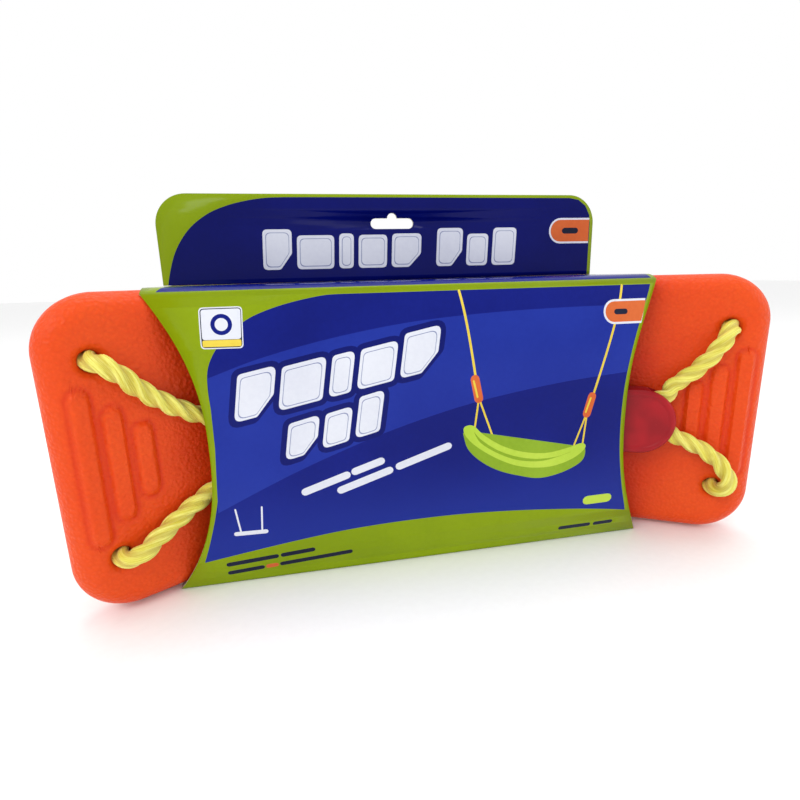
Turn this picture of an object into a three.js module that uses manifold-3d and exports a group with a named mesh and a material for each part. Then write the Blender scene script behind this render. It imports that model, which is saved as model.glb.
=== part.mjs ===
// Plank swing seat in its retail sleeve, in millimetres, +Z up.
// The seat stands on one long edge. Its sitting side is concave and faces -Y, and the rope at each
// end loops through two holes, passes a flat joiner and is put away as a hank behind the sleeve.
// The origin is under the middle of the whole pack, on the surface that it stands on.

import * as THREE from "three";
import { mergeVertices } from "three/addons/utils/BufferGeometryUtils.js";
import Module from "manifold-3d";

const wasm = await Module();
wasm.setup();

// Gap between pieces that touch.
const GAP = 0.3;

// Seat: a hollow blow-moulded plank, bent to an arc with a flat wing at each end.
const SEAT_LENGTH = 429;
const SEAT_WIDTH = 176.4;
const SEAT_THICKNESS = 24;
const SEAT_WALL = 2.5;
const CORNER_RADIUS = 31;
const WING_ANGLE = THREE.MathUtils.degToRad(31);
const WING_START = 155; // distance from the middle at which the arc turns into a flat wing
const BLOW_HOLE_RADIUS = 2.5;

// Rope holes, their soft mouths, and the channel that joins them on the back.
const HOLE_FROM_END = 23;
const HOLE_SPACING = 109;
const HOLE_RADIUS = 6.2;
const MOUTH_ROUNDING = 4.3;
const CHANNEL_WIDTH = 13;
const CHANNEL_DEPTH = 4;

// Grip ribs on each wing, the longest nearest the end.
const RIB_LENGTHS = [85, 63, 42];
const RIB_WIDTH = 10;
const RIB_RISE = 1.4;
const RIB_FROM_END = 13;
const RIB_DROP = 2; // how far the ribs' middle is below the seat's
const RIB_PITCH = 13.7;

// Rope.
const ROPE_RADIUS = 5.5;
const ROPE_SIDES = 10;

// Rope joiner: two flat oval half shells round a hollow.
const JOINER_LENGTH = 72;
const JOINER_WIDTH = 44;
const JOINER_THICKNESS = 16.2;
const JOINER_WALL = 2.2;
const JOINER_ROUNDING = 3.5;
const JOINER_HEIGHT = 82.5; // of its axis above the floor
const LEG_SLOT = 46; // width of the mouth for the two legs
const LEG_SLOT_DEPTH = 17;
const TAIL_SLOT = 26; // width of the mouth for the standing rope and the knotted end

// Hanks: racetrack turns of rope, two side by side and two deep, drawn in at the waist by a tie.
const HANK_MIDDLE_X = 22;
const HANK_HEIGHTS = { left: 143, right: 36 };
const HANK_STRAIGHT = 64;
const HANK_FRONT_Y = 9.6;
const HANK_DEPTH = 22.4;
const FOLD_OUTER = 31.7;
const FOLD_INNER = 9.3;
const WAIST_OUTER = 22.7;
const WAIST_INNER = 0.4;
const TIE_WIDTH = 5;
const TIE_WALL = 1.2;

// Hanging rings, each held by a knot at the end of its rope.
const RING_RADIUS = 18;
const RING_WIRE = 2.5;
const RING_Y = 9.5;
const RING_Z = 89.5;
const RING_MIDDLES = { left: 43, right: -1 };
const KNOT_SIZE = [11, 9.5, 8.5];
const KNOT_BORE = 4.1;

// Card sleeve and its header card.
const CARD = 0.8;
const SLEEVE_MIDDLE_X = -11.2;
const SLEEVE_LENGTH = 307.4;
const SLEEVE_FRONT_HEIGHT = 175.7;
const SLEEVE_HEIGHT = 178.6;
const SLEEVE_CREST_Y = 9; // where the top panel stops rising from its front crease
const FRONT_BOW = 9; // how far the front panel bulges at mid height
const LEFT_ARC = 27; // depth of the cut-away on each side edge
const RIGHT_ARC = 21;
const HEADER_SHIFT = -4;
const HEADER_HEIGHT = 57;
const HEADER_LENGTH = 306;
const HEADER_CORNER = 20;
const HEADER_CREASE_DROP = 2.2; // clear space under the header for it to fold back
const HANG_SLOT_WIDTH = 30;
const HANG_SLOT_HEIGHT = 7;
const HANG_SLOT_HUMP = 3.4;
const HANG_SLOT_DROP = 19; // from the header's top edge down to the slot's middle
const GLUE_FLAP_LENGTH = 240;
const GLUE_FLAP_HEIGHT = 16;

// Places that follow from the sizes above.
const SEAT_BOTTOM = CARD + GAP;
const SEAT_MIDDLE_Z = SEAT_BOTTOM + SEAT_WIDTH / 2;
const SEAT_BACK_Y = 70.5; // back of the seat at its middle
const ARC_MIDDLE_Y = SEAT_BACK_Y - SEAT_THICKNESS / 2;
const ARC_RADIUS = WING_START / Math.sin(WING_ANGLE);
const ARC_LENGTH = ARC_RADIUS * WING_ANGLE;
const WING_END_X = SEAT_LENGTH / 2 - SEAT_THICKNESS / 2;
const HALF_RUN = ARC_LENGTH + (WING_END_X - WING_START) / Math.cos(WING_ANGLE) + SEAT_THICKNESS / 2;
const HOLE_RUN = HALF_RUN - HOLE_FROM_END;
const BACK_PANEL_Y = SEAT_BACK_Y + GAP;

// Where each joiner's rounded tip is and how far it tilts out of the sleeve's plane.
const JOINERS = {
  left: { tipX: -118, tipY: 12, tilt: THREE.MathUtils.degToRad(15.8) },
  right: { tipX: 158, tipY: -9.9, tilt: THREE.MathUtils.degToRad(26) },
};

// The two legs of each rope inside its joiner, as [distance from its middle towards its tip, height].
// One leg starts at a knot on the joiner's inner side and the other goes on to the hank.
const KNOTTED_LEGS = {
  left: [[-37, 76.6], [-20, 76.6], [0, 76.6], [16, 75.8], [31, 73.2]],
  right: [[-37, 88.3], [-16, 88.3], [2, 89], [14, 92.2], [25, 97.2], [33, 102.4]],
};
const STANDING_LEGS = {
  left: [[31, 91.4], [16, 89.2], [0, 88.3], [-20, 88.3], [-37, 88.3]],
  right: [[33, 75.2], [16, 76.6], [0, 76.6], [-20, 76.6], [-37, 76.6]],
};

// Rope routes between the legs, round through both holes, as
// [run along the bent seat, height, distance in front of its middle].
const LOOPS = {
  left: [
    [-131, 71, 19.8], [-143, 66.6, 18.9], [-157, 61, 18.4], [-175, 52, 18.4], [-191, 42.4, 19],
    [-199.3, 37.6, 20.3], [-204.8, 35.3, 17.9], [-207.2, 34.8, 11], [-207.3, 34.8, 0],
    [-207.3, 34.9, -8], [-207.3, 36.6, -12.6], [-207.3, 41, -14.2], [-207.3, 49, -14.2],
    [-207.3, 69, -14.1], [-207.3, 89, -14.1], [-207.3, 109, -14.1], [-207.3, 130, -14.2],
    [-207.3, 137.6, -14.2], [-207.3, 142, -12.6], [-207.3, 143.7, -8], [-207.3, 143.8, 0],
    [-207.2, 143.8, 11], [-204.8, 143, 17.9], [-198.8, 138, 20.5], [-187, 125.8, 19],
    [-172, 114.6, 18.4], [-156, 106, 18.4], [-143, 99.6, 18.9], [-131, 95, 19.8],
  ],
  right: [
    [174.2, 105.6, 20.2], [181.4, 110.8, 20], [190, 119, 19.8], [199, 131, 20.7], [204.6, 140.8, 18.2],
    [207.2, 143.8, 11], [207.3, 143.8, 0], [207.3, 143.7, -8], [207.3, 142, -12.6],
    [207.3, 137.6, -14.2], [207.3, 130, -14.2], [207.3, 109, -14.1], [207.3, 89, -14.1],
    [207.3, 69, -14.1], [207.3, 49, -14.2], [207.3, 41, -14.2], [207.3, 36.6, -12.6],
    [207.3, 34.9, -8], [207.3, 34.8, 0], [207.5, 34.8, 9.5], [209.3, 35, 17], [212.6, 37.2, 21.6],
    [213.8, 43.4, 22.4], [210, 52.4, 21.6], [201.4, 60.8, 20.6], [190.6, 67.2, 20.2], [179.6, 71.8, 20.4],
  ],
};

// Where each standing rope goes on to meet its hank, and each tail from its hank to its knot.
const LEADS = {
  left: [[-38, 31.8, 91.6], [-29.6, 28.2, 99.8], [-20.2, 24.4, 109.4]],
  right: [[87, 23.4, 73.2], [79.6, 23.6, 70], [71.6, 23.6, 67]],
};
const TAILS = {
  left: [[80.1, 15.2, 118.4], [82, 13.2, 110], [83.6, 11, 102], [83, 9.8, 95], [79.7, 9.5, 90.8], [75, 9.5, 89.5]],
  right: [[-36.1, 15.2, 60.6], [-38.4, 13.4, 68], [-40.9, 11, 76], [-41, 9.8, 83.4], [-37.7, 9.5, 88.2], [-33, 9.5, 89.5]],
};
const BRIDLE_KNOTS = { left: [-35.6, 33.4, 75.2], right: [80.6, 25.2, 89.4] };
const BRIDLE_KNOT_SIZE = [11, 9, 9.3];

const ORANGE = new THREE.MeshStandardMaterial({ color: 0xf05423, roughness: 0.42 });
const YELLOW = new THREE.MeshStandardMaterial({ color: 0xe6dc4a, roughness: 0.6 });
const CRIMSON = new THREE.MeshStandardMaterial({ color: 0x9c1c2e, roughness: 0.3 });
const STEEL = new THREE.MeshStandardMaterial({ color: 0xb9bdc2, roughness: 0.3, metalness: 1 });
const TIE_WHITE = new THREE.MeshStandardMaterial({ color: 0xf0f0ee, roughness: 0.5 });
const CARD_BLUE = new THREE.MeshStandardMaterial({ color: 0x1d2f9a, roughness: 0.25 });
const CARD_NAVY = new THREE.MeshStandardMaterial({ color: 0x0b1560, roughness: 0.25 });
const CARD_GREY = new THREE.MeshStandardMaterial({ color: 0xb8b4a8, roughness: 0.8 });

const pack = new THREE.Group();

function rad(degrees) {
  return THREE.MathUtils.degToRad(degrees);
}

// ---- Solids -------------------------------------------------------------------------------------

function solid(geometry) {
  const bare = new THREE.BufferGeometry();
  bare.setAttribute("position", geometry.getAttribute("position"));
  if (geometry.index) {
    bare.setIndex(geometry.index);
  }
  const merged = mergeVertices(bare, 1e-4);
  const triVerts = new Uint32Array(merged.index.array);
  const vertProperties = merged.attributes.position.array;
  return new wasm.Manifold(new wasm.Mesh({ numProp: 3, vertProperties, triVerts }));
}

function add(name, shape, material) {
  const mesh = shape.getMesh();
  const geometry = new THREE.BufferGeometry();
  geometry.setAttribute("position", new THREE.BufferAttribute(mesh.vertProperties, 3));
  geometry.setIndex(new THREE.BufferAttribute(mesh.triVerts, 1));
  geometry.computeVertexNormals();
  const node = new THREE.Mesh(geometry, material);
  node.name = name;
  pack.add(node);
}

function box([x0, y0, z0], [x1, y1, z1]) {
  const geometry = new THREE.BoxGeometry(x1 - x0, y1 - y0, z1 - z0);
  return geometry.translate((x0 + x1) / 2, (y0 + y1) / 2, (z0 + z1) / 2);
}

function capsuleShape(width, height) {
  const r = width / 2;
  const run = height / 2 - r;
  const shape = new THREE.Shape();
  shape.moveTo(r, -run);
  shape.lineTo(r, run);
  shape.absarc(0, run, r, 0, Math.PI, false);
  shape.lineTo(-r, -run);
  shape.absarc(0, -run, r, Math.PI, 2 * Math.PI, false);
  return shape;
}

// ---- Seat ---------------------------------------------------------------------------------------

// Angle of the seat's middle surface at a run along it from its centre.
function bendAngle(run) {
  return THREE.MathUtils.clamp(run / ARC_RADIUS, -WING_ANGLE, WING_ANGLE);
}

// Moves a frame to the seat's middle surface: x along the run, y up, z out of the sitting side.
function seatFrame(run, height) {
  const angle = bendAngle(run);
  const along = new THREE.Vector3(Math.cos(angle), -Math.sin(angle), 0);
  const up = new THREE.Vector3(0, 0, 1);
  const out = new THREE.Vector3(-Math.sin(angle), -Math.cos(angle), 0);
  const beyond = run - angle * ARC_RADIUS;
  const place = new THREE.Vector3(
    ARC_RADIUS * Math.sin(angle) + beyond * Math.cos(angle),
    ARC_MIDDLE_Y - ARC_RADIUS * (1 - Math.cos(angle)) - beyond * Math.sin(angle),
    height,
  );
  return new THREE.Matrix4().makeBasis(along, up, out).setPosition(place);
}

function seatPoint([run, height, out]) {
  return new THREE.Vector3(0, 0, out).applyMatrix4(seatFrame(run, height));
}

// The bent plank, or the hollow inside it when inset is the wall. It is a cylinder whose rings are
// set at stations along the seat and pressed to the section there, which has fully rounded edges.
function plank(inset, levels, arcSteps) {
  const rounding = SEAT_THICKNESS / 2 - inset;
  const flatCorner = CORNER_RADIUS - SEAT_THICKNESS / 2;
  const cornerStart = HALF_RUN - CORNER_RADIUS;
  const flatEnd = cornerStart + flatCorner;
  const stations = [];
  for (let i = 0; i <= arcSteps; i++) {
    stations.push(ARC_LENGTH * ((2 * i) / arcSteps - 1));
  }
  const onWing = [0, 30, 60, 90].map((turn) => cornerStart + flatCorner * Math.sin(rad(turn)));
  const onEnd = [25, 47, 68, 86].map((turn) => flatEnd + rounding * Math.sin(rad(turn)));
  for (const run of [...onWing, ...onEnd]) {
    stations.push(run);
    stations.unshift(-run);
  }
  const sides = 2 * levels;
  const geometry = new THREE.CylinderGeometry(1, 1, 1, sides, stations.length - 1);
  const points = geometry.getAttribute("position");
  for (let i = 0; i < points.count; i++) {
    const run = stations[Math.round((points.getY(i) + 0.5) * (stations.length - 1))];
    const turn = Math.atan2(points.getX(i), points.getZ(i)) / (2 * Math.PI);
    const step = (Math.round(turn * sides) + sides) % sides;
    const level = step < levels ? step : sides - 1 - step;
    const pastFlat = Math.max(0, Math.abs(run) - flatEnd);
    const highest = Math.sqrt(rounding * rounding - pastFlat * pastFlat);
    const out = highest * Math.sin(rad((180 * level) / (levels - 1) - 90));
    const reach = flatCorner + Math.sqrt(Math.max(0, rounding * rounding - out * out));
    const past = Math.max(0, Math.abs(run) - cornerStart);
    const width = SEAT_WIDTH / 2 - CORNER_RADIUS + Math.sqrt(Math.max(0, reach * reach - past * past));
    const onAxis = Math.hypot(points.getX(i), points.getZ(i)) < 0.5;
    const side = step < levels ? 1 : -1;
    const p = seatPoint([run, SEAT_MIDDLE_Z + (onAxis ? 0 : side * width), onAxis ? 0 : out]);
    points.setXYZ(i, p.x, p.y, p.z);
  }
  return solid(geometry);
}

// A rope hole: a straight bore that opens to a rounded mouth on both faces.
function boreCutter() {
  const half = SEAT_THICKNESS / 2;
  const mouth = HOLE_RADIUS + MOUTH_ROUNDING;
  const side = [];
  const steps = 3;
  for (let i = 0; i <= steps; i++) {
    const turn = (Math.PI / 2) * (i / steps);
    const r = mouth - MOUTH_ROUNDING * Math.cos(turn);
    side.push([r, half - MOUTH_ROUNDING * (1 - Math.sin(turn))]);
  }
  side.push([mouth, half + 3]);
  const profile = [new THREE.Vector2(0, -half - 3)];
  side.slice().reverse().forEach(([r, h]) => profile.push(new THREE.Vector2(r, -h)));
  side.forEach(([r, h]) => profile.push(new THREE.Vector2(r, h)));
  profile.push(new THREE.Vector2(0, half + 3));
  return new THREE.LatheGeometry(profile, 20).rotateX(Math.PI / 2);
}

function addSeat() {
  const outer = plank(0, 9, 16);
  let shell = outer.subtract(plank(SEAT_WALL, 5, 12));
  const half = SEAT_THICKNESS / 2;
  for (const side of [-1, 1]) {
    const channelDepth = half - CHANNEL_DEPTH;
    const backing = new THREE.ExtrudeGeometry(
      capsuleShape(CHANNEL_WIDTH + 2 * SEAT_WALL, HOLE_SPACING + CHANNEL_WIDTH + 2 * SEAT_WALL),
      { depth: CHANNEL_DEPTH + SEAT_WALL, bevelEnabled: false, curveSegments: 8 },
    ).translate(0, 0, -half);
    const channel = new THREE.ExtrudeGeometry(
      capsuleShape(CHANNEL_WIDTH, HOLE_SPACING + CHANNEL_WIDTH),
      { depth: CHANNEL_DEPTH + 2, bevelEnabled: false, curveSegments: 8 },
    ).translate(0, 0, -channelDepth - CHANNEL_DEPTH - 2);
    const frame = seatFrame(side * HOLE_RUN, SEAT_MIDDLE_Z);
    shell = shell.add(solid(backing.applyMatrix4(frame)).intersect(outer));
    for (const end of [-1, 1]) {
      const post = new THREE.CylinderGeometry(
        HOLE_RADIUS + SEAT_WALL, HOLE_RADIUS + SEAT_WALL, SEAT_THICKNESS, 24,
      ).rotateX(Math.PI / 2);
      const place = seatFrame(side * HOLE_RUN, SEAT_MIDDLE_Z + (end * HOLE_SPACING) / 2);
      shell = shell.add(solid(post.applyMatrix4(place)).intersect(outer));
    }
    shell = shell.subtract(solid(channel.applyMatrix4(frame)));
    for (const end of [-1, 1]) {
      const place = seatFrame(side * HOLE_RUN, SEAT_MIDDLE_Z + (end * HOLE_SPACING) / 2);
      shell = shell.subtract(solid(boreCutter().applyMatrix4(place)));
    }
    RIB_LENGTHS.forEach((length, i) => {
      const soft = RIB_RISE / 2;
      const rib = new THREE.ExtrudeGeometry(capsuleShape(RIB_WIDTH - 2 * soft, length - 2 * soft), {
        depth: RIB_RISE, bevelThickness: soft, bevelSize: soft, bevelSegments: 2, curveSegments: 6,
      }).translate(0, 0, half - soft);
      const run = side * (HALF_RUN - RIB_FROM_END - i * RIB_PITCH);
      shell = shell.add(solid(rib.applyMatrix4(seatFrame(run, SEAT_MIDDLE_Z - RIB_DROP))));
    });
  }
  const blowHole = new THREE.CylinderGeometry(
    BLOW_HOLE_RADIUS, BLOW_HOLE_RADIUS, SEAT_THICKNESS / 2, 12,
  ).translate(0, SEAT_BACK_Y, SEAT_MIDDLE_Z);
  add("seat_shell", shell.subtract(solid(blowHole)), ORANGE);
}

// ---- Rope ---------------------------------------------------------------------------------------

function circleShape(radius, sides) {
  const points = [];
  for (let i = 0; i < sides; i++) {
    const turn = (2 * Math.PI * i) / sides;
    points.push(new THREE.Vector2(radius * Math.cos(turn), radius * Math.sin(turn)));
  }
  return new THREE.Shape(points);
}

function rope(points, steps) {
  const path = new THREE.CatmullRomCurve3(points, false, "centripetal");
  return solid(new THREE.ExtrudeGeometry(circleShape(ROPE_RADIUS, ROPE_SIDES), { steps, extrudePath: path }));
}

function vector([x, y, z]) {
  return new THREE.Vector3(x, y, z);
}

function lump([x, y, z], [a, b, c]) {
  return solid(new THREE.SphereGeometry(1, 14, 10).scale(a, b, c).translate(x, y, z));
}

// One side of a hank's outline at a distance from its waist.
function hankReach(x, waist, fold) {
  const t = THREE.MathUtils.clamp(Math.abs(x) / (HANK_STRAIGHT / 2), 0, 1);
  return waist + (fold - waist) * t * t * (3 - 2 * t);
}

function hankOutline(waist, fold) {
  const end = HANK_STRAIGHT / 2;
  const shape = new THREE.Shape();
  shape.moveTo(-end, -fold);
  for (let i = -5; i <= 6; i++) {
    shape.lineTo((end * i) / 6, -hankReach((end * i) / 6, waist, fold));
  }
  shape.absarc(end, 0, fold, -Math.PI / 2, Math.PI / 2, false);
  for (let i = 5; i >= -6; i--) {
    shape.lineTo((end * i) / 6, hankReach((end * i) / 6, waist, fold));
  }
  shape.absarc(-end, 0, fold, Math.PI / 2, 1.5 * Math.PI, false);
  return shape;
}

function hankEye(side) {
  const end = HANK_STRAIGHT / 2;
  const eye = new THREE.Path();
  eye.moveTo(side * 4, 0);
  for (let i = 2; i <= 6; i++) {
    eye.lineTo((side * end * i) / 6, -hankReach((end * i) / 6, WAIST_INNER, FOLD_INNER));
  }
  for (let i = 1; i < 8; i++) {
    const turn = (Math.PI * i) / 8 - Math.PI / 2;
    eye.lineTo(side * (end + FOLD_INNER * Math.cos(turn)), FOLD_INNER * Math.sin(turn));
  }
  for (let i = 6; i >= 2; i--) {
    eye.lineTo((side * end * i) / 6, hankReach((end * i) / 6, WAIST_INNER, FOLD_INNER));
  }
  return eye;
}

// Turns a shape drawn in x and height so that its thickness runs back from y.
function standing(geometry, y) {
  geometry.computeBoundingBox();
  const depth = geometry.boundingBox.max.z;
  return geometry.rotateX(Math.PI / 2).translate(0, y + depth, 0);
}

function addHank(side) {
  const outline = hankOutline(WAIST_OUTER, FOLD_OUTER);
  outline.holes.push(hankEye(1), hankEye(-1));
  const turns = new THREE.ExtrudeGeometry(outline, {
    depth: HANK_DEPTH, bevelEnabled: false, curveSegments: 12,
  });
  standing(turns, HANK_FRONT_Y).translate(HANK_MIDDLE_X, 0, HANK_HEIGHTS[side]);
  add(side + "_rope_hank", solid(turns), YELLOW);

  const tight = GAP + 0.3;
  const inner = [TIE_WIDTH + 2, HANK_DEPTH + 2 * tight, 2 * (WAIST_OUTER + tight)];
  const outer = [TIE_WIDTH, inner[1] + 2 * TIE_WALL, inner[2] + 2 * TIE_WALL];
  const band = solid(new THREE.BoxGeometry(...outer)).subtract(solid(new THREE.BoxGeometry(...inner)));
  const middleY = HANK_FRONT_Y + HANK_DEPTH / 2;
  add(side + "_hank_tie", band.translate(HANK_MIDDLE_X, middleY, HANK_HEIGHTS[side]), TIE_WHITE);
}

function addRope(side) {
  const frame = joinerFrame(side);
  const inJoiner = ([along, height]) => new THREE.Vector3(along, 0, 0).applyMatrix4(frame).setZ(height);
  const route = [
    ...KNOTTED_LEGS[side].map(inJoiner),
    ...LOOPS[side].map(seatPoint),
    ...STANDING_LEGS[side].map(inJoiner),
    ...LEADS[side].map(vector),
  ];
  add(side + "_rope_bridle", rope(route, 78), YELLOW);
  add(side + "_rope_tail", rope(TAILS[side].map(vector), 10), YELLOW);
  add(side + "_bridle_knot", lump(BRIDLE_KNOTS[side], BRIDLE_KNOT_SIZE), YELLOW);

  const hold = side === "left" ? 1 : -1;
  const wireX = RING_MIDDLES[side] + hold * RING_RADIUS;
  const bore = new THREE.CylinderGeometry(KNOT_BORE, KNOT_BORE, 30, 14).rotateX(Math.PI / 2);
  const knot = lump([wireX + hold * 2, RING_Y, RING_Z], KNOT_SIZE);
  const hole = solid(bore.translate(wireX - hold * 0.5, RING_Y, RING_Z));
  add(side + "_end_knot", knot.subtract(hole), YELLOW);
  const ring = new THREE.TorusGeometry(RING_RADIUS, RING_WIRE, 8, 28).rotateX(Math.PI / 2);
  add(side + "_hanging_ring", solid(ring.translate(RING_MIDDLES[side], RING_Y, RING_Z)), STEEL);
}

// ---- Rope joiners -------------------------------------------------------------------------------

function joinerBody(inset) {
  const rounding = inset ? 1 : JOINER_ROUNDING;
  const drawn = inset + rounding;
  const outline = capsuleShape(JOINER_WIDTH - 2 * drawn, JOINER_LENGTH - 2 * drawn);
  const depth = JOINER_THICKNESS - 2 * drawn;
  return new THREE.ExtrudeGeometry(outline, {
    depth, bevelThickness: rounding, bevelSize: rounding, bevelSegments: inset ? 1 : 3, curveSegments: 14,
  }).rotateZ(Math.PI / 2).translate(0, 0, -depth / 2);
}

// A joiner's frame: x towards its tip, z towards the front.
function joinerFrame(side) {
  const { tipX, tipY, tilt } = JOINERS[side];
  const hand = side === "left" ? -1 : 1;
  const outward = new THREE.Vector3(hand * Math.cos(tilt), -Math.sin(tilt), 0);
  const across = new THREE.Vector3(0, 0, hand);
  const front = new THREE.Vector3().crossVectors(outward, across);
  const middle = new THREE.Vector3(tipX, tipY, JOINER_HEIGHT).addScaledVector(outward, -JOINER_LENGTH / 2);
  return new THREE.Matrix4().makeBasis(outward, across, front).setPosition(middle);
}

function addJoiner(side) {
  const frame = joinerFrame(side);

  const hollow = JOINER_THICKNESS - 2 * JOINER_WALL;
  const end = JOINER_LENGTH / 2;
  const legMouth = box([end - LEG_SLOT_DEPTH, -LEG_SLOT / 2, -hollow / 2], [end + 2, LEG_SLOT / 2, hollow / 2]);
  const tailMouth = box([-end - 2, -TAIL_SLOT / 2, -hollow / 2], [-end + 12, TAIL_SLOT / 2, hollow / 2]);
  const shell = solid(joinerBody(0)).subtract(solid(joinerBody(JOINER_WALL)));
  const open = shell.subtract(solid(legMouth)).subtract(solid(tailMouth));
  for (const [name, face] of [["front", 1], ["back", -1]]) {
    const near = (face * GAP) / 2;
    const far = face * JOINER_THICKNESS;
    const low = [-JOINER_LENGTH, -JOINER_WIDTH, Math.min(near, far)];
    const half = box(low, [JOINER_LENGTH, JOINER_WIDTH, Math.max(near, far)]);
    const shape = open.intersect(solid(half)).transform(frame.toArray());
    add(side + "_joiner_" + name + "_half", shape, CRIMSON);
  }
}

// ---- Sleeve -------------------------------------------------------------------------------------

// A card panel: a box with steps up or across it, whose corners are moved to the panel's surface.
function panel(steps, place) {
  const geometry = new THREE.BoxGeometry(1, 1, 1, 1, steps, 1);
  const points = geometry.getAttribute("position");
  for (let i = 0; i < points.count; i++) {
    const p = place(points.getX(i) + 0.5, points.getY(i) + 0.5, 0.5 - points.getZ(i));
    points.setXYZ(i, p[0], p[1], p[2]);
  }
  return solid(geometry);
}

function sideEdge(across, height) {
  const t = 2 * (height / SLEEVE_FRONT_HEIGHT) - 1;
  const cut = 1 - Math.pow(Math.abs(t), 2.5);
  const left = SLEEVE_MIDDLE_X - SLEEVE_LENGTH / 2 + LEFT_ARC * cut;
  const right = SLEEVE_MIDDLE_X + SLEEVE_LENGTH / 2 - RIGHT_ARC * cut;
  return left + (right - left) * across;
}

function bowOut(height) {
  const t = Math.abs(2 * (height / SLEEVE_FRONT_HEIGHT) - 1);
  return FRONT_BOW * (1 - Math.pow(t, 5));
}

function crestRise(y) {
  const t = THREE.MathUtils.clamp(y / SLEEVE_CREST_Y, 0, 1);
  return (SLEEVE_HEIGHT - SLEEVE_FRONT_HEIGHT) * Math.sin((t * Math.PI) / 2);
}

function headerPly(y) {
  const half = HEADER_LENGTH / 2;
  const low = SLEEVE_HEIGHT + GAP;
  const high = SLEEVE_HEIGHT + HEADER_HEIGHT;
  const shape = new THREE.Shape();
  shape.moveTo(-half, low);
  shape.lineTo(half, low);
  shape.lineTo(half, high - HEADER_CORNER);
  shape.absarc(half - HEADER_CORNER, high - HEADER_CORNER, HEADER_CORNER, 0, Math.PI / 2, false);
  shape.lineTo(HEADER_CORNER - half, high);
  shape.absarc(HEADER_CORNER - half, high - HEADER_CORNER, HEADER_CORNER, Math.PI / 2, Math.PI, false);
  shape.holes.push(hangSlot(high - HANG_SLOT_DROP));
  const geometry = new THREE.ExtrudeGeometry(shape, { depth: CARD, bevelEnabled: false, curveSegments: 8 });
  return solid(standing(geometry, y).translate(SLEEVE_MIDDLE_X + HEADER_SHIFT, 0, 0));
}

// The slot for a display hook: a long hole with a hump over its middle.
function hangSlot(height) {
  const r = HANG_SLOT_HEIGHT / 2;
  const run = HANG_SLOT_WIDTH / 2 - r;
  const slot = new THREE.Path();
  slot.moveTo(-run, height - r);
  slot.lineTo(run, height - r);
  slot.absarc(run, height, r, -Math.PI / 2, Math.PI / 2, false);
  slot.absarc(0, height + r, HANG_SLOT_HUMP, 0, Math.PI, false);
  slot.absarc(-run, height, r, Math.PI / 2, 1.5 * Math.PI, false);
  return slot;
}

function addSleeve() {
  const frontTop = SLEEVE_FRONT_HEIGHT - CARD - GAP;
  const plyY = BACK_PANEL_Y - GAP - CARD;
  const backTop = SLEEVE_HEIGHT - HEADER_CREASE_DROP;
  const topEnd = plyY - GAP;
  add("sleeve_front_panel", panel(12, (across, up, back) => {
    const z = frontTop * up;
    return [sideEdge(across, z), back * CARD - bowOut(z), z];
  }), CARD_BLUE);
  add("sleeve_top_panel", panel(10, (across, up, down) => {
    const y = topEnd * Math.pow(up, 1.6);
    return [sideEdge(across, 0), y, SLEEVE_FRONT_HEIGHT + crestRise(y) - CARD * down];
  }), CARD_BLUE);
  add("sleeve_back_panel", panel(12, (across, up, back) => {
    const z = backTop * up;
    return [sideEdge(across, Math.min(z, SLEEVE_FRONT_HEIGHT)), BACK_PANEL_Y + back * CARD, z];
  }), CARD_GREY);
  add("sleeve_bottom_panel", solid(box(
    [sideEdge(0, 0), CARD + GAP, 0], [sideEdge(1, 0), BACK_PANEL_Y - GAP, CARD],
  )), CARD_BLUE);
  add("sleeve_glue_flap", panel(3, (across, up, back) => {
    const z = SEAT_BOTTOM + GLUE_FLAP_HEIGHT * up;
    const x = SLEEVE_MIDDLE_X + GLUE_FLAP_LENGTH * (across - 0.5);
    return [x, CARD + 2.5 * GAP + back * CARD - bowOut(z), z];
  }), CARD_GREY);
  add("header_front_ply", headerPly(plyY), CARD_NAVY);
  add("header_back_ply", headerPly(BACK_PANEL_Y), CARD_NAVY);
}

addSeat();
for (const side of ["left", "right"]) {
  addRope(side);
  addHank(side);
  addJoiner(side);
}
addSleeve();

// The origin is under the middle of everything but the ropes with their knots and ties.
const onRope = /_rope_|_knot|_tie/;
const bounds = new THREE.Box3();
pack.children.filter((node) => !onRope.test(node.name)).forEach((node) => bounds.expandByObject(node));
const middle = bounds.getCenter(new THREE.Vector3());
pack.position.set(-middle.x, -middle.y, -bounds.min.z);

export default pack;
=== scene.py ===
"""Looks of a plank swing seat in its retail sleeve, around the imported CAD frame.

Shapes are laid out in the pack's own millimetres, as the CAD source does, and put into the frame in metres.
"""

import math

import bmesh
import bpy
import numpy as np
from mathutils import Matrix, Vector
from mathutils.geometry import delaunay_2d_cdt


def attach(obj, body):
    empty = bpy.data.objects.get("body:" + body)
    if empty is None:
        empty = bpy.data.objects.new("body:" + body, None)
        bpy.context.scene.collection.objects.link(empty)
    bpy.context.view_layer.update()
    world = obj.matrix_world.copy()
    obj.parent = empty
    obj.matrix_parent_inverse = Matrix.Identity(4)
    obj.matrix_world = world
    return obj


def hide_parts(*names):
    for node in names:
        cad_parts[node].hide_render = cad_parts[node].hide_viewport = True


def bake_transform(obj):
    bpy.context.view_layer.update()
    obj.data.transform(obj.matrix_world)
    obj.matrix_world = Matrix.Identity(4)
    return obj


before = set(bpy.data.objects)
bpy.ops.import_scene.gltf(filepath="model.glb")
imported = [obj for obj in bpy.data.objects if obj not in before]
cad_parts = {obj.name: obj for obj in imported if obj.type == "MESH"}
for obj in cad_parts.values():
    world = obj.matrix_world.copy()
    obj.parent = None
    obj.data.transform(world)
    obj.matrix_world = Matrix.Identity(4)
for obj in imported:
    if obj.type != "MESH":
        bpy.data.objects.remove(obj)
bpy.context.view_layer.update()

MM = 0.001
SHIFT_Y = -22.603  # from the pack's own millimetres to the frame, towards the front


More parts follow.
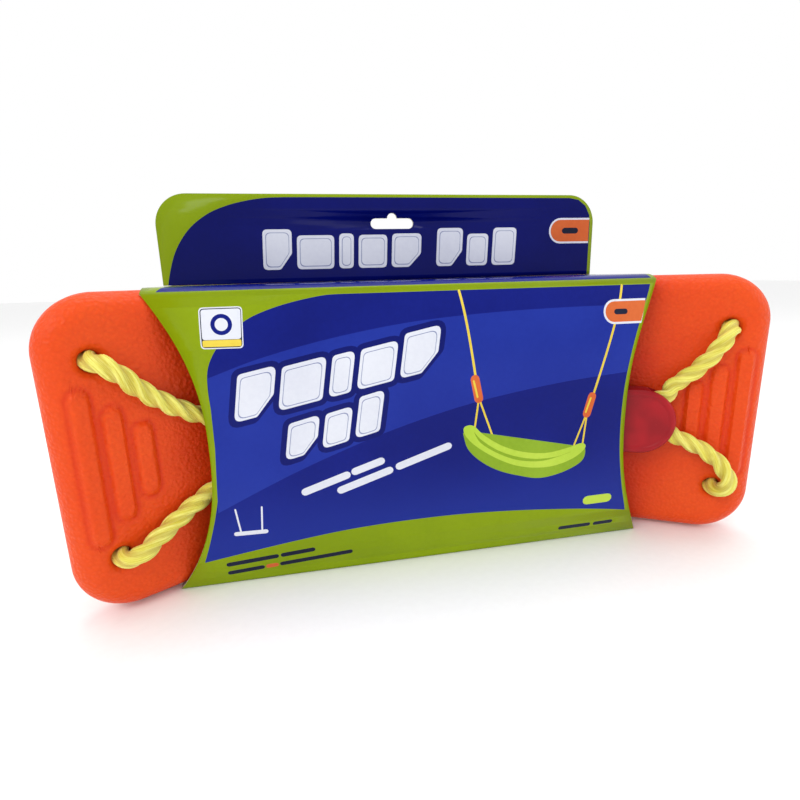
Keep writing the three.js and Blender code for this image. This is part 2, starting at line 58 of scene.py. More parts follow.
def put_in_frame(points):
    return [(x * MM, (y + SHIFT_Y) * MM, z * MM) for x, y, z in points]


# ---- Camera ----

# Solved from the photo: the camera's place in the pack's millimetres, and its three directions.
CAMERA_PLACE = (-85.32766, -294.77934, 181.36836)
CAMERA_RIGHT = (0.97925866, -0.20102215, -0.02534886)
CAMERA_UP = (0.07178274, 0.22721462, 0.97119553)
CAMERA_BACK = (-0.18947219, -0.95287125, 0.2369318)
SENSOR_WIDTH = 36.0
LENS = 22.9104

camera = bpy.data.objects.new("camera", bpy.data.cameras.new("camera"))
camera.data.sensor_width = SENSOR_WIDTH
camera.data.lens = LENS
camera.data.clip_start = 0.01
turned = Matrix([CAMERA_RIGHT, CAMERA_UP, CAMERA_BACK]).transposed()
camera.matrix_world = Matrix.Translation(Vector(put_in_frame([CAMERA_PLACE])[0])) @ turned.to_4x4()
bpy.context.scene.collection.objects.link(camera)
bpy.context.scene.camera = camera

# ---- Sizes, as in the CAD source, in millimetres ----

SEAT_LENGTH = 429.0
SEAT_WIDTH = 176.4
SEAT_THICKNESS = 24.0
CORNER_RADIUS = 31.0
WING_ANGLE = math.radians(31)
WING_START = 155.0
SEAT_BACK_Y = 70.5
SEAT_MIDDLE_Z = 1.1 + SEAT_WIDTH / 2
ARC_MIDDLE_Y = SEAT_BACK_Y - SEAT_THICKNESS / 2
ARC_RADIUS = WING_START / math.sin(WING_ANGLE)
ARC_LENGTH = ARC_RADIUS * WING_ANGLE
WING_END_X = SEAT_LENGTH / 2 - SEAT_THICKNESS / 2
HALF_RUN = ARC_LENGTH + (WING_END_X - WING_START) / math.cos(WING_ANGLE) + SEAT_THICKNESS / 2
HOLE_RUN = HALF_RUN - 23
HOLE_SPACING = 109.0
BORE_RADIUS = 5.1
MOUTH_ROUNDING = 5.2  # of a bore, on both faces
CHANNEL_LEVELS = [(6.5, -2.0), (6.5, 0.6), (6.1, 2.4), (4.9, 3.5), (2.4, 4.0)]  # half width, depth
RIB_LENGTHS = (85.0, 63.0, 42.0)
RIB_WIDTH = 10.0
RIB_RISE = 1.7
RIB_FROM_END = {-1: 14.6, 1: 12.6}  # by wing, left and right
RIB_PITCH = 13.7
RIB_DROP = 2.0
RIB_SHOULDER = 2.0
RIB_GROOVE = (0.5, 0.9, 1.1)  # depth, distance from the rib and width of the crease round it
ROPE_DIAMETER = 11.0
ROPE_LAY = 3.3 * ROPE_DIAMETER
ROPE_STEP = 1.5
STRAND_STEPS = 9  # points round each of the three strands
STRAND_FLOOR = 0.73  # how deep the grooves between strands go, as a share of the radius
JOINER_LENGTH = 72.0
JOINER_WIDTH = 44.0
JOINER_THICKNESS = 16.2
JOINER_WALL = 2.2
JOINER_HEIGHT = 82.5
JOINERS = {"left": (-1, -118.0, 12.0, math.radians(15.8)), "right": (1, 158.0, -9.9, math.radians(26))}
HANK_MIDDLE_X = 22.0
HANK_HEIGHTS = {"left": 143.0, "right": 36.0}
HANK_END = 32.0
TIE_MIDDLE_Y = 20.8
TIE_HALF_Y = 11.8
TIE_HALF_Z = 23.3
TIE_CORNER = 3.0
TIE_PROFILE = [(-2.5, 0.0), (-2.5, 0.9), (-2.1, 1.2), (2.1, 1.2), (2.5, 0.9), (2.5, 0.0)]  # across, rise
LOCK_SIZE = (6.6, 3.0, 4.8)
LOCK_HEIGHT = 9.0  # of its middle, above the hank's middle
RING_RADIUS = 18.0
RING_WIRE = 2.5
RING_Y = 9.5
RING_Z = 89.5
RING_MIDDLES = {"left": 43.0, "right": -1.0}
SLEEVE_MIDDLE_X = -11.2
SLEEVE_LENGTH = 307.4
FRONT_HEIGHT = 175.7
SLEEVE_HEIGHT = 178.6
CREST_Y = 9.0
FRONT_BOW = 9.0
LEFT_ARC = 27.0
RIGHT_ARC = 21.0
CARD = 0.8
BLOCK_GAP = 3.4  # between the blocks of a title
HEADER_MIDDLE_X = SLEEVE_MIDDLE_X - 4
HEADER_LENGTH = 306.0
HEADER_LOW = SLEEVE_HEIGHT + 0.3
HEADER_HIGH = SLEEVE_HEIGHT + 57
HEADER_CORNER = 20.0
HEADER_FRONT_Y = 69.7
CREASE_Y = 71.66
CREASE_CARD = 0.5
CREASE_LEVELS = [176.5, 177.0, 177.6, 178.2, 178.7, 179.2, 179.8, 180.3]

KNOTTED_LEGS = {
    "left": [(-37, 76.6), (-20, 76.6), (0, 76.6), (16, 75.8), (31, 73.2)],
    "right": [(-37, 88.3), (-16, 88.3), (2, 89), (14, 92.2), (25, 97.2), (33, 102.4)],
}
STANDING_LEGS = {
    "left": [(31, 91.4), (16, 89.2), (0, 88.3), (-20, 88.3), (-37, 88.3)],
    "right": [(33, 75.2), (16, 76.6), (0, 76.6), (-20, 76.6), (-37, 76.6)],
}
# A loop's stretch through the holes and along the seat's back: [height, out of the middle surface].
BACK_PASS = [
    (34.8, 0), (34.9, -8), (36.6, -12.6), (41, -14.2), (49, -14.2), (69, -14.1), (89, -14.1), (109, -14.1),
    (130, -14.2), (137.6, -14.2), (142, -12.6), (143.7, -8), (143.8, 0),
]
LOOPS = {
    "left": [
        (-131, 71, 19.8), (-143, 66.6, 18.9), (-157, 61, 18.4), (-175, 52, 18.4), (-191, 42.4, 19),
        (-199.3, 37.6, 20.3), (-204.8, 35.3, 17.9), (-207.2, 34.8, 11),
        *[(-207.3, height, out) for height, out in BACK_PASS],
        (-207.2, 143.8, 11), (-204.8, 143, 17.9), (-198.8, 138, 20.5), (-187, 125.8, 19),
        (-172, 114.6, 18.4), (-156, 106, 18.4), (-143, 99.6, 18.9), (-131, 95, 19.8),
    ],
    "right": [
        (174.2, 105.6, 20.2), (181.4, 110.8, 20), (190, 119, 19.8), (199, 131, 20.7), (204.6, 140.8, 18.2),
        (207.2, 143.8, 11), *[(207.3, height, out) for height, out in reversed(BACK_PASS)],
        (207.5, 34.8, 9.5), (209.3, 35, 17), (212.6, 37.2, 21.6),
        (213.8, 43.4, 22.4), (210, 52.4, 21.6), (201.4, 60.8, 20.6), (190.6, 67.2, 20.2), (179.6, 71.8, 20.4),
    ],
}
LEADS = {
    "left": [(-38, 31.8, 91.6), (-29.6, 28.2, 99.8), (-20.2, 24.4, 109.4)],
    "right": [(87, 23.4, 73.2), (79.6, 23.6, 70), (71.6, 23.6, 67)],
}
KNOT_TURNS = 2.7
KNOT_RADIUS = 5.1
KNOT_LENGTH = 11.4
KNOT_CORD = 6.8
KNOT_LAY = 30.0
BRIDLE_KNOTS = {"left": (-37, 33.8, 76.2), "right": (81.2, 26, 88.9)}
# The last pass of a hank goes on to its end knot: [across, depth, height] from the hank's middle.
HANK_EXIT = [
    (32, 15.2, -26.6), (44, 14.2, -30.6), (53, 12.8, -36.4), (58.4, 11.2, -43.2), (57.6, 10, -50),
    (52, 9.5, -53.2), (46, 9.5, -53.5), (42, 9.5, -53.5),
]
# Each lap of a hank: fold radius, waist and depth of the rope's middle.
HANK_LAPS = [(26.1, 17.1, 26.4), (14.9, 6.0, 26.4), (14.9, 6.0, 15.2), (26.1, 17.1, 15.2)]

# ---- Materials ----


class Nodes:
    """The node tree of a material or a world, with short ways to make the nodes used here."""

    def __init__(self, owner):
        owner.use_nodes = True
        self.owner = owner
        self.tree = owner.node_tree

    def node(self, kind, inputs=None, **settings):
        made = self.tree.nodes.new(kind)
        for key, value in settings.items():
            setattr(made, key, value)
        for key, value in (inputs or {}).items():
            self.put(made.inputs[key], value)
        return made

    def put(self, socket, value):
        """Sets a socket to a value, to a colour written as RRGGBB, or to what another socket gives."""
        if isinstance(value, bpy.types.NodeSocket):
            self.tree.links.new(value, socket)
        else:
            socket.default_value = rgb(value) if isinstance(value, str) else value

    def place(self, scale=(1, 1, 1)):
        """Object coordinates in millimetres, scaled."""
        where = self.node("ShaderNodeTexCoord").outputs["Object"]
        scaled = self.node("ShaderNodeMapping", {"Vector": where, "Scale": [1000 * s for s in scale]})
        return scaled.outputs["Vector"]

    def attribute(self, name, output="Fac"):
        return self.node("ShaderNodeAttribute", attribute_name=name).outputs[output]

    def split(self, vector):
        return self.node("ShaderNodeSeparateXYZ", {"Vector": vector}).outputs

    def noise(self, vector, scale, detail=3.0, roughness=0.55):
        inputs = {"Vector": vector, "Scale": scale, "Detail": detail, "Roughness": roughness}
        return self.node("ShaderNodeTexNoise", inputs).outputs["Fac"]

    def ramp(self, value, low, high, to_low=0.0, to_high=1.0):
        inputs = {"Value": value, "From Min": low, "From Max": high, "To Min": to_low, "To Max": to_high}
        return self.node("ShaderNodeMapRange", inputs, interpolation_type="SMOOTHSTEP").outputs["Result"]

    def mix(self, factor, a, b):
        return self.node("ShaderNodeMix", {0: factor, 6: a, 7: b}, data_type="RGBA").outputs[2]

    def math(self, operation, a, b=0.0):
        return self.node("ShaderNodeMath", {0: a, 1: b}, operation=operation).outputs[0]

    def bump(self, height, distance, strength=1.0, before=None):
        inputs = {"Height": height, "Distance": distance * MM, "Strength": strength}
        if before is not None:
            inputs["Normal"] = before
        return self.node("ShaderNodeBump", inputs).outputs["Normal"]

    def finish(self, **sockets):
        """Sets the inputs of the shader that the tree came with."""
        shader = next(n for n in self.tree.nodes if n.type in ("BSDF_PRINCIPLED", "BACKGROUND"))
        for name, value in sockets.items():
            self.put(shader.inputs[name.replace("_", " ")], value)
        return self.owner


def material(name):
    return Nodes(bpy.data.materials.new(name))


def rgb(code):
    """A colour written as RRGGBB, as linear values."""
    shares = [int(code[i:i + 2], 16) / 255 for i in (0, 2, 4)]
    return (*(v / 12.92 if v <= 0.04045 else ((v + 0.055) / 1.055) ** 2.4 for v in shares), 1.0)


def grey(level):
    return (level, level, level, 1.0)


def orange_plastic():
    n = material("seat_plastic")
    where = n.place()
    pebbles = n.node("ShaderNodeTexVoronoi", {"Vector": where, "Scale": 0.5, "Smoothness": 0.7},
                     feature="SMOOTH_F1").outputs["Distance"]
    fine = n.noise(where, 0.55, 3)
    broad = n.noise(where, 0.018, 2)
    grain = n.math("ADD", n.math("MULTIPLY", pebbles, 0.7), n.math("MULTIPLY", fine, 0.6))
    # painted shade: the seat turns a deeper red towards its middle, where the sleeve shades it and the curve
    # bounces its own orange back
    outward = n.ramp(n.math("ABSOLUTE", n.split(where)["X"]), 118, 178)
    crease = n.attribute("rib_groove_shade")
    tone = n.mix(outward, "CA1602", "E24A10")
    tone = n.mix(n.ramp(broad, 0.3, 0.75, 0, 0.3), tone, "EA5E1C")
    tone = n.mix(n.ramp(grain, 0.3, 0.9, 0, 0.26), tone, "C83808")
    # painted shade: darker red in the creases round the ribs
    tone = n.mix(n.math("MULTIPLY", crease, 0.5), tone, "CC1C02")
    rough = n.ramp(n.noise(where, 0.35, 4), 0.3, 0.75, 0.36, 0.5)
    scuffs = n.noise(n.place((0.02, 0.9, 0.9)), 1.0, 5, 0.7)
    rough = n.math("ADD", rough, n.ramp(scuffs, 0.6, 0.8, 0, 0.1))
    normal = n.bump(grain, 0.75, 0.8)
    normal = n.bump(n.noise(where, 0.05, 2), 1.2, 0.25, normal)
    return n.finish(Base_Color=tone, Roughness=rough, Normal=normal, Subsurface_Weight=0.2,
                    Subsurface_Radius=(0.004, 0.001, 0.0004), Subsurface_Scale=1.0, Specular_IOR_Level=0.2)


def yellow_rope():
    n = material("rope_filament")
    fibre = n.attribute("fibre", "Vector")
    proud = n.attribute("proud")
    filaments = n.noise(fibre, 0.62, 4, 0.7)
    bundles = n.noise(fibre, 0.2, 2)
    tone = n.mix(n.ramp(filaments, 0.36, 0.64), "DACC2A", "FCF88A")
    tone = n.mix(n.ramp(bundles, 0.35, 0.7, 0, 0.45), tone, "F2EA50")
    # painted shade: darker in the grooves between strands
    tone = n.mix(n.ramp(proud, 0.0, 0.55, 0.42, 0), tone, "BCA01C")
    rough = n.ramp(filaments, 0.2, 0.8, 0.34, 0.58)
    normal = n.bump(filaments, 1.1, 0.9)
    return n.finish(Base_Color=tone, Roughness=rough, Normal=normal, Subsurface_Weight=0.15,
                    Subsurface_Radius=(0.002, 0.0016, 0.0004), Subsurface_Scale=1.0, Sheen_Weight=0.15)


def crimson_plastic():
    n = material("joiner_plastic")
    where = n.place()
    broad = n.noise(where, 0.05, 2)
    fine = n.noise(where, 1.4, 4)
    streaks = n.noise(n.place((0.05, 1.5, 0.4)), 1.0, 4)
    tone = n.mix(n.ramp(broad, 0.3, 0.7), "8C0714", "A60E1A")
    tone = n.mix(n.ramp(streaks, 0.6, 0.8, 0, 0.25), tone, "B8222C")
    rough = n.ramp(fine, 0.3, 0.7, 0.3, 0.42)
    return n.finish(Base_Color=tone, Roughness=rough, Normal=n.bump(fine, 0.05, 0.4),
                    Specular_IOR_Level=0.25)


def ring_steel():
    n = material("ring_plating")
    where = n.place()
    fine = n.noise(where, 2.2, 5)
    patches = n.noise(where, 0.16, 3)
    tone = n.mix(n.ramp(patches, 0.35, 0.7), "C9CCD0", "A9ADB3")
    rough = n.ramp(n.noise(where, 0.5, 4), 0.3, 0.75, 0.16, 0.36)
    return n.finish(Base_Color=tone, Roughness=rough, Normal=n.bump(fine, 0.05, 0.4), Metallic=1.0)


def white_tie():
    n = material("tie_plastic")
    where = n.place()
    fine = n.noise(where, 1.1, 4)
    tone = n.mix(n.ramp(n.noise(where, 0.12, 2), 0.3, 0.7), "F4F3EE", "DCDAD2")
    return n.finish(Base_Color=tone, Roughness=n.ramp(fine, 0.3, 0.7, 0.35, 0.55),
                    Normal=n.bump(fine, 0.1, 0.5))


def printed(name, deep, light, rise=None):
    """Glossy print on card: ink that varies a little, faint fibre under the varnish and slow waves.

    rise is the lowest height, the height where it ends and the tone of a paler foot: a painted reflection,
    lighter towards the bottom.
    """
    n = material(name)
    where = n.place()
    mottle = n.noise(where, 0.35, 4, 0.6)
    slow = n.noise(where, 0.014, 2)
    varied = n.math("ADD", n.math("MULTIPLY", mottle, 0.25), n.math("MULTIPLY", slow, 0.75))
    tone = n.mix(n.ramp(varied, 0.32, 0.68), deep, light)
    if rise:
        # painted reflection: paler towards the bottom
        tone = n.mix(n.ramp(n.split(where)["Z"], rise[0], rise[1], 1, 0), tone, rise[2])
    fibre = n.noise(n.place((0.4, 1, 1)), 0.8, 3)
    normal = n.bump(fibre, 0.02, 0.3)
    normal = n.bump(n.noise(where, 0.03, 1), 0.6, 0.12, normal)
    rough = n.ramp(mottle, 0.3, 0.7, 0.15, 0.24)
    return n.finish(Base_Color=tone, Roughness=rough, Normal=normal, Specular_IOR_Level=0.12)


def raw_card():
    n = material("card_inside")
    where = n.place()
    fibre = n.noise(n.place((0.3, 1, 1.2)), 0.9, 6, 0.7)
    flecks = n.ramp(n.noise(where, 1.7, 3), 0.66, 0.72)
    tone = n.mix(n.ramp(fibre, 0.3, 0.7), "A8A294", "CFCABD")
    tone = n.mix(n.math("MULTIPLY", flecks, 0.45), tone, "6E675A")
    return n.finish(Base_Color=tone, Roughness=n.ramp(fibre, 0.3, 0.7, 0.7, 0.9),
                    Normal=n.bump(fibre, 0.12, 0.6))


def studio_floor():
    n = material("floor_paper")
    where = n.place()
    fibre = n.noise(where, 0.2, 3)
    tone = n.mix(n.ramp(fibre, 0.3, 0.7), grey(0.955), grey(0.975))
    return n.finish(Base_Color=tone, Roughness=0.6)


SEAT_MATERIAL = orange_plastic()
ROPE_MATERIAL = yellow_rope()
JOINER_MATERIAL = crimson_plastic()
RING_MATERIAL = ring_steel()
TIE_MATERIAL = white_tie()
CARD_INSIDE = raw_card()
INK_TONES = {
    "green": ("7C920A", "869C0C"),
    # The third entry of blue and light_blue paints a reflection, paler towards the bottom of the card.
    "blue": ("08146C", "0C1A7A", (8, 80, "1E3090")),
    "light_blue": ("182A8C", "1D3196", (20, 80, "283C98")),
    "navy": ("020958", "040D64"),
    "halo": ("06105E", "091468"),
    "white": ("CFD2DE", "DCDFE8"),
    "grey": ("7C84A8", "8C94B4"),
    "orange": ("C85E30", "D66E3A"),
    "dark": ("171A30", "22263C"),
    "yellow": ("D8BC3A", "E6CE50"),
    "lime": ("A8C63C", "BAD44C"),
    "leaf": ("7E9E22", "8CAC2C"),
}
INKS = {name: printed("ink_" + name, *tones) for name, tones in INK_TONES.items()}
INK_NAMES = list(INKS)
GROUND_INK = "green"

# ---- Mesh helpers ----


def piece(name, points, faces, materials, body=None, nodes=(), smooth=True):
    """A mesh object in the frame that rides on a body and stands for some CAD nodes."""
    mesh = bpy.data.meshes.new(name)
    mesh.from_pydata(put_in_frame(points), [], faces)
    mesh.validate()
    made = bpy.data.objects.new(name, mesh)
    bpy.context.scene.collection.objects.link(made)
    for material in materials:
        mesh.materials.append(material)
    if smooth:
        mesh.shade_smooth()
    if body:
        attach(made, body)
    if nodes:
        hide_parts(*nodes)
    return made


def bake_modifiers(made):
    """Puts the mesh with its modifiers applied in the place of the object's own."""
    bpy.context.view_layer.update()
    evaluated = made.evaluated_get(bpy.context.evaluated_depsgraph_get())
    mesh = bpy.data.meshes.new_from_object(evaluated)
    made.modifiers.clear()
    made.data = mesh


def solidify(made, thickness, inside_slot):
    """A modifier that gives a sheet its thickness inwards, with another material inside."""
    modifier = made.modifiers.new("card", "SOLIDIFY")
    modifier.thickness = thickness * MM
    modifier.offset = -1
    modifier.material_offset = inside_slot
    return modifier


def add_point_values(made, name, kind, values):
    """Named values of a mesh's points, which a material reads."""
    field = "vector" if kind == "FLOAT_VECTOR" else "value"
    layer = made.data.attributes.new(name, kind, "POINT")
    layer.data.foreach_set(field, np.array(values, np.float32).ravel())


def face_outwards(made):
    work = bmesh.new()
    work.from_mesh(made.data)
    bmesh.ops.recalc_face_normals(work, faces=work.faces)
    work.to_mesh(made.data)
    work.free()


def closed_solid(name, *parts):
    """One piece of several closed meshes, for cutting or to be cut."""
    points, faces = [], []
    for part_points, part_faces in parts:
        base = len(points)
        points += part_points
        faces += [tuple(base + i for i in face) for face in part_faces]
    made = piece(name, points, faces, [SEAT_MATERIAL], smooth=False)
    face_outwards(made)
    return made


def cut(made, name, *parts):
    """Takes closed meshes away from a piece."""
    cutter = closed_solid(name, *parts)
    modifier = made.modifiers.new("cut", "BOOLEAN")
    modifier.operation = "DIFFERENCE"
    modifier.solver = "EXACT"
    modifier.object = cutter
    bake_modifiers(made)
    bpy.data.objects.remove(cutter)


def finish_solid(made, sharp_angle, node):
    """Smooth shading up to a sharp angle, and the seat body, for a piece that has had its cuts."""
    made.data.shade_smooth()
    made.data.set_sharp_from_angle(angle=math.radians(sharp_angle))
    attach(made, "seat")
    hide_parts(node)


def grid_faces(rings, around, closed=True):
    faces = []
    for i in range(rings - 1):
        for j in range(around if closed else around - 1):
            k = (j + 1) % around
            a, b = i * around, (i + 1) * around
            faces.append((a + j, a + k, b + k, b + j))
    return faces


def capped_faces(rings, around):
    """The faces of a loft with a flat end on its first and its last ring."""
    last = (rings - 1) * around
    return [*grid_faces(rings, around), tuple(reversed(range(around))), tuple(range(last, last + around))]


def hoop_faces(rings, around):
    """The faces of a loft whose last ring meets its first."""
    last = (rings - 1) * around
    return grid_faces(rings, around) + [(last + j, last + (j + 1) % around, (j + 1) % around, j)
                                        for j in range(around)]


def arc(x, z, radius, first, last, steps):
    """Points on a round stretch, from one angle in degrees to another, with both ends."""
    turns = [math.radians(first + (last - first) * k / steps) for k in range(steps + 1)]
    return [(x + radius * math.cos(turn), z + radius * math.sin(turn)) for turn in turns]


def circle(x, z, radius, steps):
    return arc(x, z, radius, 0, 360, steps)[:-1]


def smoothstep(t):
    t = min(1.0, max(0.0, t))
    return t * t * (3 - 2 * t)


# ---- Places on the seat and the joiners ----


def seat_point(run, height, out, along=0.0):
    """A point by its run along the seat's middle surface, its height and its distance out of it."""
    angle = min(WING_ANGLE, max(-WING_ANGLE, run / ARC_RADIUS))
    beyond = run - angle * ARC_RADIUS
    x = ARC_RADIUS * math.sin(angle) + beyond * math.cos(angle)
    y = ARC_MIDDLE_Y - ARC_RADIUS * (1 - math.cos(angle)) - beyond * math.sin(angle)
    out_x, out_y = -math.sin(angle), -math.cos(angle)
    return x + out_x * out - out_y * along, y + out_y * out + out_x * along, height


def joiner_point(side, along, across=0.0, front=0.0):
    """A point by its place along a joiner, across it and in front of its middle plane."""
    hand, tip_x, tip_y, tilt = JOINERS[side]
    outward = Vector((hand * math.cos(tilt), -math.sin(tilt), 0))
    upward = Vector((0, 0, hand))
    middle = Vector((tip_x, tip_y, JOINER_HEIGHT)) - outward * (JOINER_LENGTH / 2)
    return tuple(middle + outward * along + upward * across + outward.cross(upward) * front)


def in_joiner(side, along, height):
    x, y, _ = joiner_point(side, along)
    return x, y, height


# ---- Rope ----


def hank_reach(u, waist, fold):
    """Half the height of a lap: narrow at the tie, wide at its folds."""
    return waist + (fold - waist) * smoothstep(abs(u) / HANK_END)


def hank_points(side):
    """The rope's line round a hank and off it to the end knot."""
    local = []
    for i, (fold, waist, y) in enumerate(HANK_LAPS):
        last = i == len(HANK_LAPS) - 1
        for u in np.linspace(-HANK_END, 16 if last else HANK_END, 7 if last else 9):
            local.append((u, y, -hank_reach(u, waist, fold)))
        if last:
            break
        local += [(u, y, w) for u, w in arc(HANK_END, 0, fold, -90, 90, 8)[1:-1]]
        for u in np.linspace(HANK_END, -HANK_END, 9):
            local.append((u, y, hank_reach(u, waist, fold)))
        next_fold, _, next_y = HANK_LAPS[i + 1]
        for k in range(1, 8):
            turn = math.radians(90 + 180 * k / 8)
            part = smoothstep(k / 8)
            r = fold + (next_fold - fold) * part
            local.append((-HANK_END + r * math.cos(turn), y + (next_y - y) * part, r * math.sin(turn)))
    hand = 1 if side == "left" else -1
    return [(HANK_MIDDLE_X + hand * u, y, HANK_HEIGHTS[side] + hand * w) for u, y, w in local + HANK_EXIT]


def between(low, high, start, end, at):
    return ((end - at) * low + (at - start) * high) / (end - start)


def smooth_line(points, step, passes):
    """The centripetal Catmull-Rom curve through points, at even steps, with its kinks eased."""
    p = np.array(points, float)
    p = np.vstack([2 * p[0] - p[1], p, 2 * p[-1] - p[-2]])
    out = []
    for four in zip(p, p[1:], p[2:], p[3:]):
        t = np.cumsum([0] + [max(np.linalg.norm(b - a), 1e-6) ** 0.5 for a, b in zip(four, four[1:])])
        for s in np.linspace(t[1], t[2], 12, endpoint=False):
            level = four
            for reach in (1, 2):
                level = [between(*pair, t[i], t[i + reach], s) for i, pair in enumerate(zip(level, level[1:]))]
            out.append(between(*level, t[1], t[2], s))
    out.append(p[-2])
    line = np.array(out)
    for _ in range(2):
        gone = np.concatenate([[0], np.cumsum(np.linalg.norm(np.diff(line, axis=0), axis=1))])
        even = np.linspace(0, gone[-1], max(3, int(gone[-1] / step)))
        line = np.stack([np.interp(even, gone, line[:, k]) for k in range(3)], axis=1)
        for _ in range(passes):
            line[1:-1] = line[1:-1] * 0.5 + (line[:-2] + line[2:]) * 0.25
    return line


def rope_section(strand):
    """The outline of three round strands laid together, as an angle and a reach for each point."""
    section = []
    around = 3 * STRAND_STEPS
    for k in range(around):
        turn = 2 * math.pi * k / around
        reach = STRAND_FLOOR * strand * 2
        for s in range(3):
            off = turn - 2 * math.pi * s / 3
            inside = strand * strand - (strand * math.sin(off)) ** 2
            if math.cos(off) > 0 and inside >= 0:
                reach = max(reach, strand * math.cos(off) + math.sqrt(inside))
        section.append((turn, reach))
    return section


def twisted(name, line, diameter, pitch, nodes):
    """A three-strand twisted rope along a line, as one mesh with melted, rounded ends."""
    strand = diameter / 4
    section = rope_section(strand)
    steps = np.diff(line, axis=0)
    ahead = np.vstack([steps, steps[-1:]])
    ahead[1:-1] = line[2:] - line[:-2]
    ahead /= np.linalg.norm(ahead, axis=1)[:, None]
    side = np.cross(ahead[0], (0, 0, 1.0))
    if np.linalg.norm(side) < 0.1:
        side = np.cross(ahead[0], (1.0, 0, 0))
    points, fibre, proud = [], [], []
    gone = 0.0
    total = float(np.linalg.norm(steps, axis=1).sum())
    for i, (middle, forward) in enumerate(zip(line, ahead)):
        if i:
            gone += float(np.linalg.norm(steps[i - 1]))
        side = side - forward * np.dot(side, forward)
        side /= np.linalg.norm(side)
        other = np.cross(forward, side)
        near_end = min(gone, total - gone) / (0.45 * diameter)
        shrink = math.sqrt(max(0.04, 1 - (1 - min(1.0, near_end)) ** 2))
        twist = 2 * math.pi * gone / pitch
        for turn, reach in section:
            a, b = turn + twist, turn + 0.35 * twist
            points.append(middle + reach * shrink * (side * math.cos(a) + other * math.sin(a)))
            fibre.append((0.95 * diameter * math.cos(b), 0.95 * diameter * math.sin(b), gone * 0.11))
            # how far a point stands out of the grooves, which the rope's colour uses to paint shade in them
            proud.append((reach / (2 * strand) - STRAND_FLOOR) / (1 - STRAND_FLOOR))
    faces = capped_faces(len(line), len(section))
    made = piece(name, points, faces, [ROPE_MATERIAL], "seat", nodes)
    add_point_values(made, "fibre", "FLOAT_VECTOR", fibre)
    add_point_values(made, "proud", "FLOAT", proud)
    return made


def wraps(name, middle, axis, nodes):
    """A knot drawn tight: turns of rope wound round the line that it is tied on."""
    axis = np.array(axis, float) / np.linalg.norm(axis)
    first = np.cross(axis, (0.3, 1, 0.2))
    first /= np.linalg.norm(first)
    second = np.cross(axis, first)
    line = []
    for t in np.linspace(0, 1, 120):
        turn = 2 * math.pi * KNOT_TURNS * t
        r = KNOT_RADIUS + 0.5 * math.sin(3 * turn)
        around = r * (first * math.cos(turn) + second * math.sin(turn))
        line.append(np.array(middle) + around + KNOT_LENGTH * (t - 0.5) * axis)
    return twisted(name, np.array(line), KNOT_CORD, KNOT_LAY, nodes)


def hank_tie(side):
    """The tie that holds a hank at its waist: a narrow band with rounded corners and a small lock."""
    outline = []
    for y_hand, z_hand, first in ((1, 1, 0), (-1, 1, 90), (-1, -1, 180), (1, -1, 270)):
        outline += arc(y_hand * (TIE_HALF_Y - TIE_CORNER), z_hand * (TIE_HALF_Z - TIE_CORNER), TIE_CORNER,
                       first, first + 90, 4)
    points = []
    for y, z in outline:
        for across, rise in TIE_PROFILE:
            grown = 1 + rise / math.hypot(y, z)
            points.append((HANK_MIDDLE_X + across, TIE_MIDDLE_Y + y * grown, HANK_HEIGHTS[side] + z * grown))
    tie = piece(side + "_tie_band", points, hoop_faces(len(outline), len(TIE_PROFILE)), [TIE_MATERIAL],
                "seat", [side + "_hank_tie"], smooth=False)
    face_outwards(tie)
    work = bmesh.new()
    work.from_mesh(tie.data)
    lock = bmesh.ops.create_cube(work, size=1.0)["verts"]
    lock_place = (HANK_MIDDLE_X, TIE_MIDDLE_Y - TIE_HALF_Y - 0.6, HANK_HEIGHTS[side] + LOCK_HEIGHT)
    bmesh.ops.scale(work, vec=[size * MM for size in LOCK_SIZE], verts=lock)
    bmesh.ops.translate(work, vec=Vector(put_in_frame([lock_place])[0]), verts=lock)
    bmesh.ops.bevel(work, geom=[e for e in work.edges if all(v in lock for v in e.verts)], offset=0.5 * MM,
                    segments=2, affect="EDGES")
    work.to_mesh(tie.data)
    work.free()
    return tie


def rope_route(side):
    """The points of a rope: its stopper knot, the joiner, the loop through the seat, the joiner, the hank."""
    route = [BRIDLE_KNOTS[side]]
    route += [in_joiner(side, *leg) for leg in KNOTTED_LEGS[side]]
    route += [seat_point(*stop) for stop in LOOPS[side]]
    route += [in_joiner(side, *leg) for leg in STANDING_LEGS[side]]
    return route + LEADS[side] + hank_points(side)


rope_lines = {side: smooth_line(rope_route(side), ROPE_STEP, 3) for side in ("left", "right")}
ropes = {side: twisted(side + "_rope", line, ROPE_DIAMETER, ROPE_LAY,
                       [f"{side}_rope_{part}" for part in ("bridle", "hank", "tail")])
         for side, line in rope_lines.items()}
for side, hand in (("left", 1), ("right", -1)):
    line = rope_lines[side]
    bridle_knot = wraps(side + "_stopper_knot", BRIDLE_KNOTS[side], line[8] - line[0], [side + "_bridle_knot"])
    wire_x = RING_MIDDLES[side] + hand * (RING_RADIUS + 1.2)
    end_knot = wraps(side + "_ring_knot", (wire_x, RING_Y, RING_Z), (0, 0, 1), [side + "_end_knot"])
    tie = hank_tie(side)
    path = put_in_frame(line)
    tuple(path[0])

# ---- Seat ----


